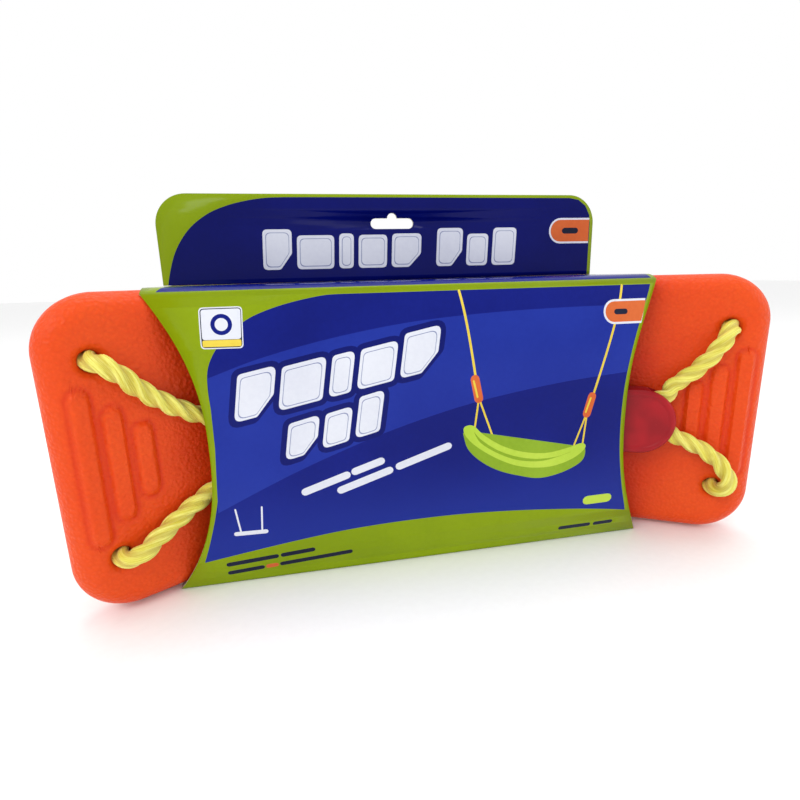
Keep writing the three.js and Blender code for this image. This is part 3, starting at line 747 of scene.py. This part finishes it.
def rib_shape(run, height):
    """How proud the grip ribs stand at a point, and how near it is to the crease round one, where the seat's
    colour is darkened as painted shade.
    """
    rise, crease = 0.0, 0.0
    groove_depth, groove_place, groove_width = RIB_GROOVE
    first_rib = HALF_RUN - RIB_FROM_END[1 if run > 0 else -1]
    for i, length in enumerate(RIB_LENGTHS):
        du = abs(abs(run) - (first_rib - i * RIB_PITCH))
        dz = max(0.0, abs(height - SEAT_MIDDLE_Z + RIB_DROP) - (length - RIB_WIDTH) / 2)
        inside = RIB_WIDTH / 2 - math.hypot(du, dz)
        if inside < -4:
            continue
        groove = math.exp(-((inside + groove_place) / groove_width) ** 2)
        rise += RIB_RISE * smoothstep((inside + 0.2) / RIB_SHOULDER) - groove_depth * groove
        crease = max(crease, groove)
    return rise, crease


ROUNDING = SEAT_THICKNESS / 2
FLAT_CORNER = CORNER_RADIUS - ROUNDING
CORNER_START = HALF_RUN - CORNER_RADIUS
FLAT_END = CORNER_START + FLAT_CORNER
EDGE_STEPS = 18
FACE_STEPS = 64


def seat_runs():
    """Where the seat's sections are: closer at the wings, closest round the ends."""
    runs = [*np.linspace(0, 150, 28), *np.linspace(150, FLAT_END, 84)[1:]]
    runs += [FLAT_END + ROUNDING * math.sin(math.radians(t)) for t in
             (6, 12, 18, 24, 30, 36, 42, 48, 54, 60, 66, 72, 77, 82, 86, 88.6)]
    return [-r for r in reversed(runs[1:])] + runs


def seat_section(run):
    """The outline of the seat at a run, as heights from its middle and distances out of its middle surface."""
    past_flat = max(0.0, abs(run) - FLAT_END)
    highest = math.sqrt(max(0.0, ROUNDING ** 2 - past_flat ** 2))
    past_corner = max(0.0, abs(run) - CORNER_START)

    def width(out):
        reach = FLAT_CORNER + math.sqrt(max(0.0, ROUNDING ** 2 - out ** 2))
        return SEAT_WIDTH / 2 - CORNER_RADIUS + math.sqrt(max(0.0, reach ** 2 - past_corner ** 2))

    edge = [highest * math.sin(math.radians(-90 + 180 * k / EDGE_STEPS)) for k in range(EDGE_STEPS + 1)]
    face = [width(highest) * (1 - 2 * k / FACE_STEPS) for k in range(1, FACE_STEPS)]
    loop = [(width(out), out) for out in edge] + [(z, highest) for z in face]
    loop += [(-width(out), out) for out in reversed(edge)] + [(-z, -highest) for z in face]
    return loop, highest


def plank():
    points, groove_shades = [], []
    runs = seat_runs()
    for run in runs:
        loop, highest = seat_section(run)
        for z, out in loop:
            height = SEAT_MIDDLE_Z + z
            rise, crease = rib_shape(run, height) if out > 0.6 * highest else (0.0, 0.0)
            points.append(seat_point(run, height, out + rise))
            groove_shades.append(crease)
    faces = [tuple(reversed(face)) for face in capped_faces(len(runs), len(points) // len(runs))]
    made = piece("seat_plank", points, faces, [SEAT_MATERIAL])
    # nearness to the creases round the ribs, which the seat's colour darkens as painted shade
    add_point_values(made, "rib_groove_shade", "FLOAT", groove_shades)
    face_outwards(made)
    return made


def bore(run, height):
    """One rope hole: a bore that opens to a wide soft mouth on both faces."""
    mouth = BORE_RADIUS + MOUTH_ROUNDING
    side = arc(mouth, ROUNDING - MOUTH_ROUNDING, MOUTH_ROUNDING, 180, 90, 8) + [(mouth, ROUNDING + 3)]
    profile = [(r, -out) for r, out in reversed(side)] + side
    around = 40
    points = [seat_point(run, height + b, out, a) for r, out in profile for a, b in circle(0, 0, r, around)]
    return points, capped_faces(len(profile), around)


def channel(run):
    """The shallow groove that joins a pair of holes on the back."""
    points = []
    for r, depth in CHANNEL_LEVELS:
        outline = arc(0, HOLE_SPACING / 2, r, 0, 180, 12) + arc(0, -HOLE_SPACING / 2, r, 180, 360, 12)
        points += [seat_point(run, SEAT_MIDDLE_Z + z, depth - ROUNDING, a) for a, z in outline]
    return points, capped_faces(len(CHANNEL_LEVELS), len(outline))


seat = plank()
cut(seat, "channels", *[channel(hand * HOLE_RUN) for hand in (-1, 1)])
cut(seat, "bores", *[bore(hand * HOLE_RUN, SEAT_MIDDLE_Z + end * HOLE_SPACING / 2)
                     for hand in (-1, 1) for end in (-1, 1)])
finish_solid(seat, 38, "seat_shell")

# ---- Rope joiners ----


def joiner_loft(side, face, levels):
    """A loft of capsules, each given as how far it is inset and how far it is from the middle plane."""
    points = []
    for inset, high in levels:
        r = JOINER_WIDTH / 2 - inset
        run = JOINER_LENGTH / 2 - inset - r
        outline = arc(run, 0, r, -90, 90, 20) + arc(-run, 0, r, 90, 270, 20)
        points += [joiner_point(side, a, b, face * high) for a, b in outline]
    return points, capped_faces(len(levels), len(outline))


def joiner_mouth(side, face, low, high, wide, depth):
    """The opening that the rope leaves a joiner by."""
    corners = [(low, -wide / 2), (high, -wide / 2), (high, wide / 2), (low, wide / 2)]
    points = [joiner_point(side, a, b, face * front) for front in (-0.5, depth + 0.001) for a, b in corners]
    return points, capped_faces(2, 4)


def joiner_half(side, name, face):
    """A hollow half with a rim that stands a little proud of its flat middle."""
    half, end = JOINER_THICKNESS / 2, JOINER_LENGTH / 2
    side_wall = [(0.6, 0.15), (0.0, 0.7), (0.0, half - 2.6), (0.2, half - 1.7), (0.7, half - 0.85)]
    rim = [(1.4, half - 0.3), (2.2, half - 0.05), (3.0, half), (3.6, half - 0.1), (4.1, half - 0.4)]
    middle = [(4.6, half - 0.7), (5.4, half - 0.8), (12.0, half - 0.7), (17.0, half - 0.62), (20.6, half - 0.6)]
    points, faces = joiner_loft(side, face, side_wall + rim + middle)
    made = piece(f"{side}_joiner_{name}", points, faces, [JOINER_MATERIAL])
    face_outwards(made)
    hollow = half - JOINER_WALL
    inside = [(JOINER_WALL, -0.4), (JOINER_WALL, hollow - 0.8), (JOINER_WALL + 0.8, hollow)]
    cut(made, "hollow", joiner_loft(side, face, inside))
    cut(made, "wide_mouth", joiner_mouth(side, face, end - 17, end + 2, 46, hollow))
    cut(made, "narrow_mouth", joiner_mouth(side, face, -end - 2, -end + 12, 26, hollow))
    finish_solid(made, 40, f"{side}_joiner_{name}_half")


for side in ("left", "right"):
    for name, face in (("front", 1), ("back", -1)):
        joiner_half(side, name, face)

# ---- Hanging rings ----


def wire_ring(side):
    """A ring of round wire, a little thicker where it is welded."""
    around, wire = 72, 18
    points = []
    for i in range(around):
        turn = 2 * math.pi * i / around
        weld = 1 + 0.07 * math.exp(-((i - around / 4) / 1.6) ** 2)
        for r, out in circle(RING_RADIUS, 0, 0.98 * RING_WIRE * weld, wire):
            points.append((RING_MIDDLES[side] + r * math.cos(turn), RING_Y + out, RING_Z + r * math.sin(turn)))
    ring = piece(side + "_wire_ring", points, hoop_faces(around, wire), [RING_MATERIAL], side + "_ring",
                 [side + "_hanging_ring"])
    face_outwards(ring)


for side in ("left", "right"):
    wire_ring(side)

# ---- Printed card ----


def is_inside(points, polygon):
    """Which of the points (n, 2) are inside a polygon."""
    x, y = points[:, 0], points[:, 1]
    hit = np.zeros(len(points), bool)
    for (x0, y0), (x1, y1) in zip(polygon, polygon[1:] + polygon[:1]):
        if y0 != y1:
            hit ^= ((y0 > y) != (y1 > y)) & (x < (x1 - x0) * (y - y0) / (y1 - y0) + x0)
    return hit


def printed_sheet(name, outline, holes, lines, art, place, body, nodes):
    """A card cut along its outline, its holes and every edge of its print, so that each ink is its own faces.

    Later shapes of the art cover earlier ones, lines are where the card may bend, and place puts it in space.
    """
    coordinates, edges = [], []

    def draw(polygon, closed=True):
        base = len(coordinates)
        coordinates.extend(Vector(p) for p in polygon)
        count = len(polygon)
        edges.extend((base + i, base + (i + 1) % count) for i in range(count if closed else count - 1))

    draw(outline)
    for hole in holes:
        draw(hole)
    for line in lines:
        draw(line, False)
    for _, polygon in art:
        draw(polygon)
    flat, _, triangles, _, _, _ = delaunay_2d_cdt(coordinates, edges, [], 0, 1e-4)
    flat = np.array([tuple(p) for p in flat])
    triangles = np.array(triangles, int)
    middles = flat[triangles].mean(axis=1)
    keep = is_inside(middles, outline)
    for hole in holes:
        keep &= ~is_inside(middles, hole)
    triangles, middles = triangles[keep], middles[keep]
    ink = np.full(len(triangles), INK_NAMES.index(GROUND_INK))
    for colour, polygon in art:
        ink[is_inside(middles, polygon)] = INK_NAMES.index(colour)
    used = np.unique(triangles)
    number = {int(v): i for i, v in enumerate(used)}
    points = [place(*flat[v]) for v in used]
    faces = [tuple(number[int(v)] for v in t) for t in triangles]
    made = piece(name, points, faces, [*INKS.values(), CARD_INSIDE], body, nodes)
    made.data.polygons.foreach_set("material_index", ink.astype(np.int32))
    card = solidify(made, CARD, len(INKS))
    card.use_even_offset = False
    card.material_offset_rim = len(INKS)
    return made


def curve(points, count=8, closed=False):
    """The Catmull-Rom curve through 2-D points, open or closed."""
    p = [np.array(q, float) for q in points]
    n = len(p)
    out = []
    for i in range(n if closed else n - 1):
        a = p[(i - 1) % n] if closed or i else 2 * p[0] - p[1]
        b, c = p[i], p[(i + 1) % n]
        d = p[(i + 2) % n] if closed or i + 2 < n else 2 * p[-1] - p[-2]
        for t in np.linspace(0, 1, count, endpoint=False):
            q = 0.5 * (2 * b + (c - a) * t + (2 * a - 5 * b + 4 * c - d) * t ** 2
                       + (3 * b - a - 3 * c + d) * t ** 3)
            out.append((float(q[0]), float(q[1])))
    if not closed:
        out.append((float(p[-1][0]), float(p[-1][1])))
    return out


def rounded(corners, radius, count=5):
    """A polygon with rounded corners, given anticlockwise."""
    p = [Vector(c) for c in corners]
    out = []
    for i, at in enumerate(p):
        back, on = (p[i - 1] - at).normalized(), (p[(i + 1) % len(p)] - at).normalized()
        half = math.acos(max(-1.0, min(1.0, back.dot(on)))) / 2
        reach = min(radius / max(math.tan(half), 0.05), 0.49 * (p[i - 1] - at).length,
                    0.49 * (p[(i + 1) % len(p)] - at).length)
        a, b = at + back * reach, at + on * reach
        for k in range(count + 1):
            t = k / count
            q = (1 - t) ** 2 * a + 2 * t * (1 - t) * at + t * t * b
            out.append((q.x, q.y))
    return out


def bar(start, end, width, count=5):
    """A thick line with round ends."""
    a, b = Vector(start), Vector(end)
    along = (b - a).normalized()
    across = Vector((-along.y, along.x))
    out = []
    for at, first in ((b, -90), (a, 90)):
        for k in range(count + 1):
            turn = math.radians(first + 180 * k / count)
            q = at + width / 2 * (along * math.cos(turn) + across * math.sin(turn))
            out.append((q.x, q.y))
    return out


def bars(colour, width, *lines):
    return [(colour, bar(start, end, width)) for start, end in lines]


def block(x, z, wide, high, lean, slope, grow=0.0, notch=0.0):
    """A leaning block with rounded corners that stands on a sloping line."""
    raw = [(-grow, -grow), (wide + grow, -grow), (wide + grow, high + grow), (-grow, high + grow)]
    if notch:
        raw = [(-grow, -grow), (wide * 0.6, -grow), (wide + grow, high * 0.4), (wide + grow, high + grow),
               (-grow, high + grow)]
    return rounded([(x + u + lean * v, z + v + slope * u) for u, v in raw], 3.2 + grow)


def side_edge(across, height):
    t = 2 * (height / FRONT_HEIGHT) - 1
    share = 1 - abs(t) ** 2.5
    left = SLEEVE_MIDDLE_X - SLEEVE_LENGTH / 2 + LEFT_ARC * share
    right = SLEEVE_MIDDLE_X + SLEEVE_LENGTH / 2 - RIGHT_ARC * share
    return left + (right - left) * across


def bow_out(height):
    t = abs(2 * (height / FRONT_HEIGHT) - 1)
    return FRONT_BOW * (1 - t ** 5)


def crest_rise(y):
    return (SLEEVE_HEIGHT - FRONT_HEIGHT) * math.sin(min(1.0, max(0.0, y / CREST_Y)) * math.pi / 2)


def wrap_stations():
    """The sleeve's outer face from the back's top edge down, under, up the front and over to the header.

    Each station is a depth, a height, and the height that its ends are cut by.
    """
    out = [(71.6, z, z) for z in np.linspace(SLEEVE_HEIGHT - 2.2, 2.5, 30)]
    out += [(71.45, 0.7, 0.7), (71.0, 0.2, 0.2), (70.2, 0.0, 0.0)]
    out += [(y, 0.0, 0.0) for y in np.linspace(66, 3, 6)]
    out += [(1.3, 0.0, 0.0), (0.3, 0.15, 0.15), (-0.1, 0.6, 0.6)]
    heights = [1.4, 2.6, 4.2, 6.2, 8.6, 11.4, 14.8, 19, 24, *np.arange(30, 146, 5.0), 149, 153, 157, 160.5,
               163.5, 166, 168.2, 170, 171.6, 172.3, 173.2, 174.1]
    out += [(-bow_out(z), z, z) for z in heights]
    out.append((-0.35, 174.9, 174.9))
    out += [(y, z, FRONT_HEIGHT) for y, z in ((0.0, 175.45), (0.6, 175.85), (1.3, 176.1))]
    out += [(y, FRONT_HEIGHT + crest_rise(y), FRONT_HEIGHT)
            for y in (2.2, 3, 4, 5, 6.2, 7.6, 9.0, 14, 22, 32, 44, 56, 64)]
    return out + [(68.6, SLEEVE_HEIGHT, FRONT_HEIGHT), (69.3, SLEEVE_HEIGHT + 0.1, FRONT_HEIGHT)]


stations = wrap_stations()
gone = [0.0]
for (y0, z0, _), (y1, z1, _) in zip(stations, stations[1:]):
    gone.append(gone[-1] + math.hypot(y1 - y0, z1 - z0))
bottom_at = next(i for i, s in enumerate(stations) if s[0] < 0)
top_at = next(i for i, s in enumerate(stations) if i > bottom_at and s[0] >= 0)


def up_front(z):
    """Distance round the wrap of a height on the front panel."""
    heights = [s[1] for s in stations[bottom_at - 3:top_at + 1]]
    return float(np.interp(z, heights, gone[bottom_at - 3:top_at + 1]))


def on_top(y):
    return float(np.interp(y, [s[0] for s in stations[top_at:]], gone[top_at:]))


def on_wrap(x, s):
    return (x, float(np.interp(s, gone, [t[0] for t in stations])),
            float(np.interp(s, gone, [t[1] for t in stations])))


def front_field():
    """The blue field of the front, and the lighter band across it."""
    left = curve([(-148.1, 19.3), (-143, 34), (-138.2, 51), (-134.9, 68), (-133.5, 86), (-134.2, 108),
                  (-134.8, 124), (-133.4, 136), (-127.6, 146.6), (-119.8, 154.4), (-110.2, 161), (-98, 165.8),
                  (-84, 169.4), (-70, 171.8), (-62, 172.3)], 5)
    right = curve([(137, 172.3), (129.4, 155), (123.4, 134), (119.6, 110), (118.6, 86), (119.8, 62),
                   (123.6, 39), (129, 19.8)], 5)
    bottom = curve([(129, 19.8), (112, 22.6), (88, 25.8), (52, 29.4), (18, 31.6), (-8, 32.2), (-38, 31.8),
                    (-67, 30.2), (-97, 26.8), (-120, 23.6), (-148.1, 19.3)], 4)
    field = left[:-1] + [(-62, 172.3)] + right[:-1] + bottom[:-1]
    upper = curve([(-134.3, 130), (-106, 139.3), (-68, 148.1), (-22, 155.2), (28, 158.8), (81, 160.2),
                   (130.8, 160.2)], 6)
    lower = curve([(120, 118), (71, 113.6), (17, 105.2), (-32, 92.7), (-72, 79), (-103, 66.5), (-137, 51)], 6)
    band = upper + [(127.2, 150), (124.3, 139), (121.7, 127)] + lower + [(-134.6, 90)]
    return [("blue", field), ("light_blue", band)]


def title(rows, lean, grow):
    """Rows of plain leaning blocks stand where a title would be, each with an inner line and maybe a halo."""
    halos, blocks = [], []
    for x, z, slope, row in rows:
        for wide, high, notch in row:
            if grow:
                halos.append(("halo", block(x, z, wide, high, lean, slope, grow, notch)))
            for colour, dx, dz, less_wide, less_high in (("white", 0, 0, 0, 0), ("grey", 1.9, 1.6, 3.6, 3.6),
                                                         ("white", 2.4, 2.2, 4.4, 4.6)):
                blocks.append((colour, block(x + dx, z + dz, wide - less_wide, high - less_high, lean, slope, 0,
                                             notch)))
            x += wide + BLOCK_GAP
            z += slope * (wide + BLOCK_GAP)
    return halos + blocks


def badge(x, low, high, low_right, high_right):
    """An orange tab with one round end and a pale rim; its other end follows the print's border."""
    r = (high - low) / 2
    art = []
    for colour, rim in (("white", 0.0), ("orange", 1.3)):
        round_end = arc(x + r, low + r, r - rim, 90, 270, 12)
        art.append((colour, [(low_right, low + rim), (high_right, high - rim), *round_end]))
    return art


def swing_picture():
    """A picture of an empty swing hangs in the right half of the front."""
    art = bars("yellow", 1.5, ((10, 172), (18.3, 121)), ((116.8, 172), (97.3, 104)))
    art += bars("yellow", 1.2, ((20.4, 107), (17.6, 86)), ((20.8, 107), (31, 79.5)), ((93.4, 92), (84, 66.5)),
                ((93.8, 92), (91.6, 68)))
    for start, end in (((17.9, 119.6), (20.4, 107.6)), ((96.6, 103.4), (93.7, 92.4))):
        art.append(("orange", bar(start, end, 5.6, 8)))
        art += bars("yellow", 1.2, ((start[0] - 0.8, start[1] - 1), (end[0] - 0.8, end[1] + 1)))
    under = curve([(10.4, 86.2), (13.6, 76), (22, 67), (34, 59.6), (48, 54.6), (62, 51.4), (76, 53), (88, 57.4),
                   (93.4, 62), (94, 68.4), (90, 70.6)], 6) + [(12, 88)]
    over = curve([(11.4, 90.2), (17, 90.6), (24, 84), (36, 76), (50, 70.6), (66, 68.2), (80, 70), (91.4, 72.6),
                  (94, 69), (86, 62.8), (72, 58.8), (58, 59), (44, 62.4), (30, 69.4), (18, 78), (11.6, 85.4)],
                 5, True)
    dip = curve([(17.6, 86.6), (22, 81.4), (33, 73.4), (46, 67.8), (60, 64.8), (74, 65), (84, 67.4),
                 (78, 65.6), (64, 63), (48, 65), (34, 70.8), (22, 79)], 4, True)
    return art + [("leaf", under), ("lime", over), ("leaf", dip)]


def ring_tile():
    """A white tile with a ring over a yellow foot stands where a mark would be."""
    return [("white", rounded([(-136, 145.8), (-114, 145.4), (-113.2, 167.6), (-135.8, 167.6)], 2.4)),
            ("dark", rounded([(-135.4, 146.4), (-114.6, 146), (-113.8, 167), (-135.2, 167)], 2.0)),
            ("white", rounded([(-134.9, 150.6), (-114.9, 150.4), (-114.2, 166.5), (-134.7, 166.5)], 1.6)),
            ("yellow", rounded([(-135, 146.9), (-115, 146.5), (-114.9, 150.2), (-134.9, 150.4)], 0.8)),
            ("blue", circle(-124.6, 158.4, 5.6, 24)), ("white", circle(-124.6, 158.4, 3.4, 24))]


def small_print():
    """A small white swing stands where a pictogram would be, and plain bars where small print would be."""
    art = bars("white", 1.0, ((-127.5, 52), (-125.6, 37)), ((-112.6, 52), (-113.6, 37)))
    art += bars("white", 2.6, ((-128.4, 36.4), (-111.4, 36)))
    art += bars("dark", 3.0, ((-135, 15.6), (-107, 17.6)), ((-103, 17.9), (-85, 19.2)),
                ((-135, 9), (-116, 10.4)), ((-104, 11.2), (-62, 14)), ((82, 10.8), (103, 11)),
                ((108, 11), (120, 11.2)))
    art += bars("orange", 3.0, ((-112.4, 10.6), (-107.6, 10.9)))
    return art + bars("lime", 6.4, ((98.6, 31), (113.6, 31.2)))


FRONT_ROWS = [(-123, 104, 0.2, [(21, 27, 1), (25, 25, 0), (13, 24, 0), (22, 23.4, 0), (22, 26, 1)]),
              (-97, 79, 0.24, [(18, 22, 1), (16, 21, 0), (15, 25, 0)])]
HEADER_ROWS = [(-104, 187.4, 0.0, [(19, 26, 1), (25, 22, 0), (10, 23, 0), (20, 22, 0), (21, 22.6, 1)]),
               (16, 187.4, 0.0, [(19, 26, 1), (16, 22, 0), (18, 26, 0)])]

front_art = front_field() + title(FRONT_ROWS, 0.16, 3.4)
front_art += bars("white", 4.6, ((-87, 58.6), (-62, 66.6)), ((-57, 68.4), (-41, 73.4)),
                  ((-66, 57.4), (-36, 67)), ((-30, 69), (1, 79)))
front_art += swing_picture() + ring_tile() + badge(102.4, 148.6, 163.8, 128.6, 132.2)
front_art += bars("dark", 3.4, ((111.4, 156.2), (117.4, 156.2))) + small_print()
wrap_art = [(colour, [(x, up_front(z)) for x, z in polygon]) for colour, polygon in front_art]

top_blue = [(x, on_top(y)) for x, y in ((-157, 1.4), (-150, 18), (-138, 40), (-124, 66))]
top_blue += [(-118, gone[-1] + 1), (139.4, gone[-1] + 1), (139.4, on_top(1.4))]
wrap_art.append(("blue", top_blue))
# The back's field runs from a height of 160 down to the 27th station, near its foot.
back_top = float(np.interp(-160, [-s[1] for s in stations[:30]], gone[:30]))
back_field = [(-118, back_top), (98, back_top), (98, gone[26]), (-118, gone[26])]
wrap_art.append(("blue", rounded(back_field, 16)))
outline = [(side_edge(0, z), s) for (_, _, z), s in zip(stations, gone)]
outline += [(side_edge(1, z), s) for (_, _, z), s in reversed(list(zip(stations, gone)))]
outline.reverse()
bends = [[(-170.0, s), (150.0, s)] for s in gone[1:-1]]
printed_sheet("sleeve_wrap", outline, [], bends, wrap_art, on_wrap, "sleeve",
              ["sleeve_front_panel", "sleeve_top_panel", "sleeve_back_panel", "sleeve_bottom_panel"])

flap_bends = [[(-200, z), (200, z)] for z in np.linspace(3, 15, 7)]
flap_outline = [(SLEEVE_MIDDLE_X - 118, 1.2), (SLEEVE_MIDDLE_X + 118, 1.2), (SLEEVE_MIDDLE_X + 112, 17),
                (SLEEVE_MIDDLE_X - 112, 17)]
printed_sheet("sleeve_flap", flap_outline, [], flap_bends, [],
              lambda x, z: (x, CARD + 0.75 - bow_out(z), z), "sleeve", ["sleeve_glue_flap"])


def header_outline():
    low, high, r = HEADER_LOW, HEADER_HIGH, HEADER_CORNER
    left, right = HEADER_MIDDLE_X - HEADER_LENGTH / 2, HEADER_MIDDLE_X + HEADER_LENGTH / 2
    return [(left, low), (right, low), *arc(right - r, high - r, r, 0, 90, 16),
            *arc(left + r, high - r, r, 90, 180, 16)]


def hang_slot():
    """A slot with round ends and a round hump in its upper edge."""
    x, z, r, run, hump = HEADER_MIDDLE_X, HEADER_HIGH - 19, 3.5, 11.5, 3.4
    return arc(x + run, z, r, -90, 90, 9) + arc(x, z + r, hump, 0, 180, 10) + arc(x - run, z, r, 90, 270, 9)


blue_left = curve([(-165.4, 178), (-163.6, 185.4), (-159.7, 197), (-154.8, 206), (-148.4, 214), (-140.6, 220.4),
                   (-131.2, 225.6), (-117.6, 230), (-101.8, 232.8), (-88, 233.5)], 5)
header_field = blue_left + [(-60, 233.6), (118, 233.6), (125, 232.4), (131, 228.2), (134.4, 222), (135.2, 216),
                            (135.2, 178)]
header_art = [("navy", header_field), *title(HEADER_ROWS, 0.05, 0), *badge(102.6, 201.8, 219.8, 134.8, 134.8),
              *bars("dark", 4.2, ((115, 210.8), (124, 210.8)))]
header_bends = [[(-190, z), (160, z)] for z in np.linspace(182, 232, 11)]
printed_sheet("header_front", header_outline(), [hang_slot()], header_bends, header_art,
              lambda x, z: (x, HEADER_FRONT_Y, z), "header", ["header_front_ply"])
back_art = [("navy", rounded([(-160, 186), (129, 186), (129, 227), (-160, 227)], 12))]
header_back = printed_sheet("header_back", header_outline(), [hang_slot()], header_bends, back_art,
                            lambda x, z: (x, HEADER_FRONT_Y + 2 * CARD + 0.3, z), "header",
                            ["header_back_ply"])
header_back.data.flip_normals()

# The folded card of the crease joins the back panel to the header.
crease_left = SLEEVE_MIDDLE_X - SLEEVE_LENGTH / 2 + 1
crease_right = HEADER_MIDDLE_X + HEADER_LENGTH / 2
crease_points = [(x, CREASE_Y, z) for x in np.linspace(crease_left, crease_right, 40) for z in CREASE_LEVELS]
crease = piece("header_crease", crease_points, grid_faces(40, len(CREASE_LEVELS), False),
               [INKS[GROUND_INK], CARD_INSIDE])
solidify(crease, CREASE_CARD, 1)
bake_modifiers(crease)
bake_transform(crease)

# ---- Floor and light ----

FLOOR_REACH = 6.0

floor_mesh = bpy.data.meshes.new("floor")
floor_corners = [(a * FLOOR_REACH, b * FLOOR_REACH, 0) for a, b in ((-1, -1), (1, -1), (1, 1), (-1, 1))]
floor_mesh.from_pydata(floor_corners, [], [(0, 1, 2, 3)])
floor_mesh.materials.append(studio_floor())
floor = bpy.data.objects.new("floor", floor_mesh)
floor.location.z = -0.0002
bpy.context.scene.collection.objects.link(floor)


def studio_world():
    """A white studio: bright behind the pack and along the horizon, dimmer overhead and in front."""
    n = Nodes(bpy.data.worlds.new("studio"))
    direction = n.node("ShaderNodeTexCoord").outputs["Generated"]
    split = n.split(direction)
    depth = n.ramp(split["Y"], -0.5, 0.5, 0.9, 1.0)
    height = n.ramp(split["Z"], 0.35, 0.95, 1.0, 0.97)
    return n.finish(Color=grey(1.0), Strength=n.math("MULTIPLY", depth, height))


bpy.context.scene.world = studio_world()

LIGHT_AIM = Vector((0, 0, 0.1))


def soft_light(name, place, size, power):
    """A rectangular light that faces the pack."""
    data = bpy.data.lights.new(name, "AREA")
    data.shape = "RECTANGLE"
    data.size, data.size_y = size
    data.energy = power
    made = bpy.data.objects.new(name, data)
    made.location = place
    made.rotation_euler = (LIGHT_AIM - Vector(place)).to_track_quat("-Z", "Y").to_euler()
    bpy.context.scene.collection.objects.link(made)


soft_light("key", (-1.1, -1.0, 1.3), (0.9, 0.7), 10)
soft_light("fill", (1.5, -0.8, 0.7), (0.9, 0.9), 3)
soft_light("top", (0.1, 0.3, 1.6), (1.4, 0.8), 8)
bpy.context.scene.view_settings.view_transform = "Standard"
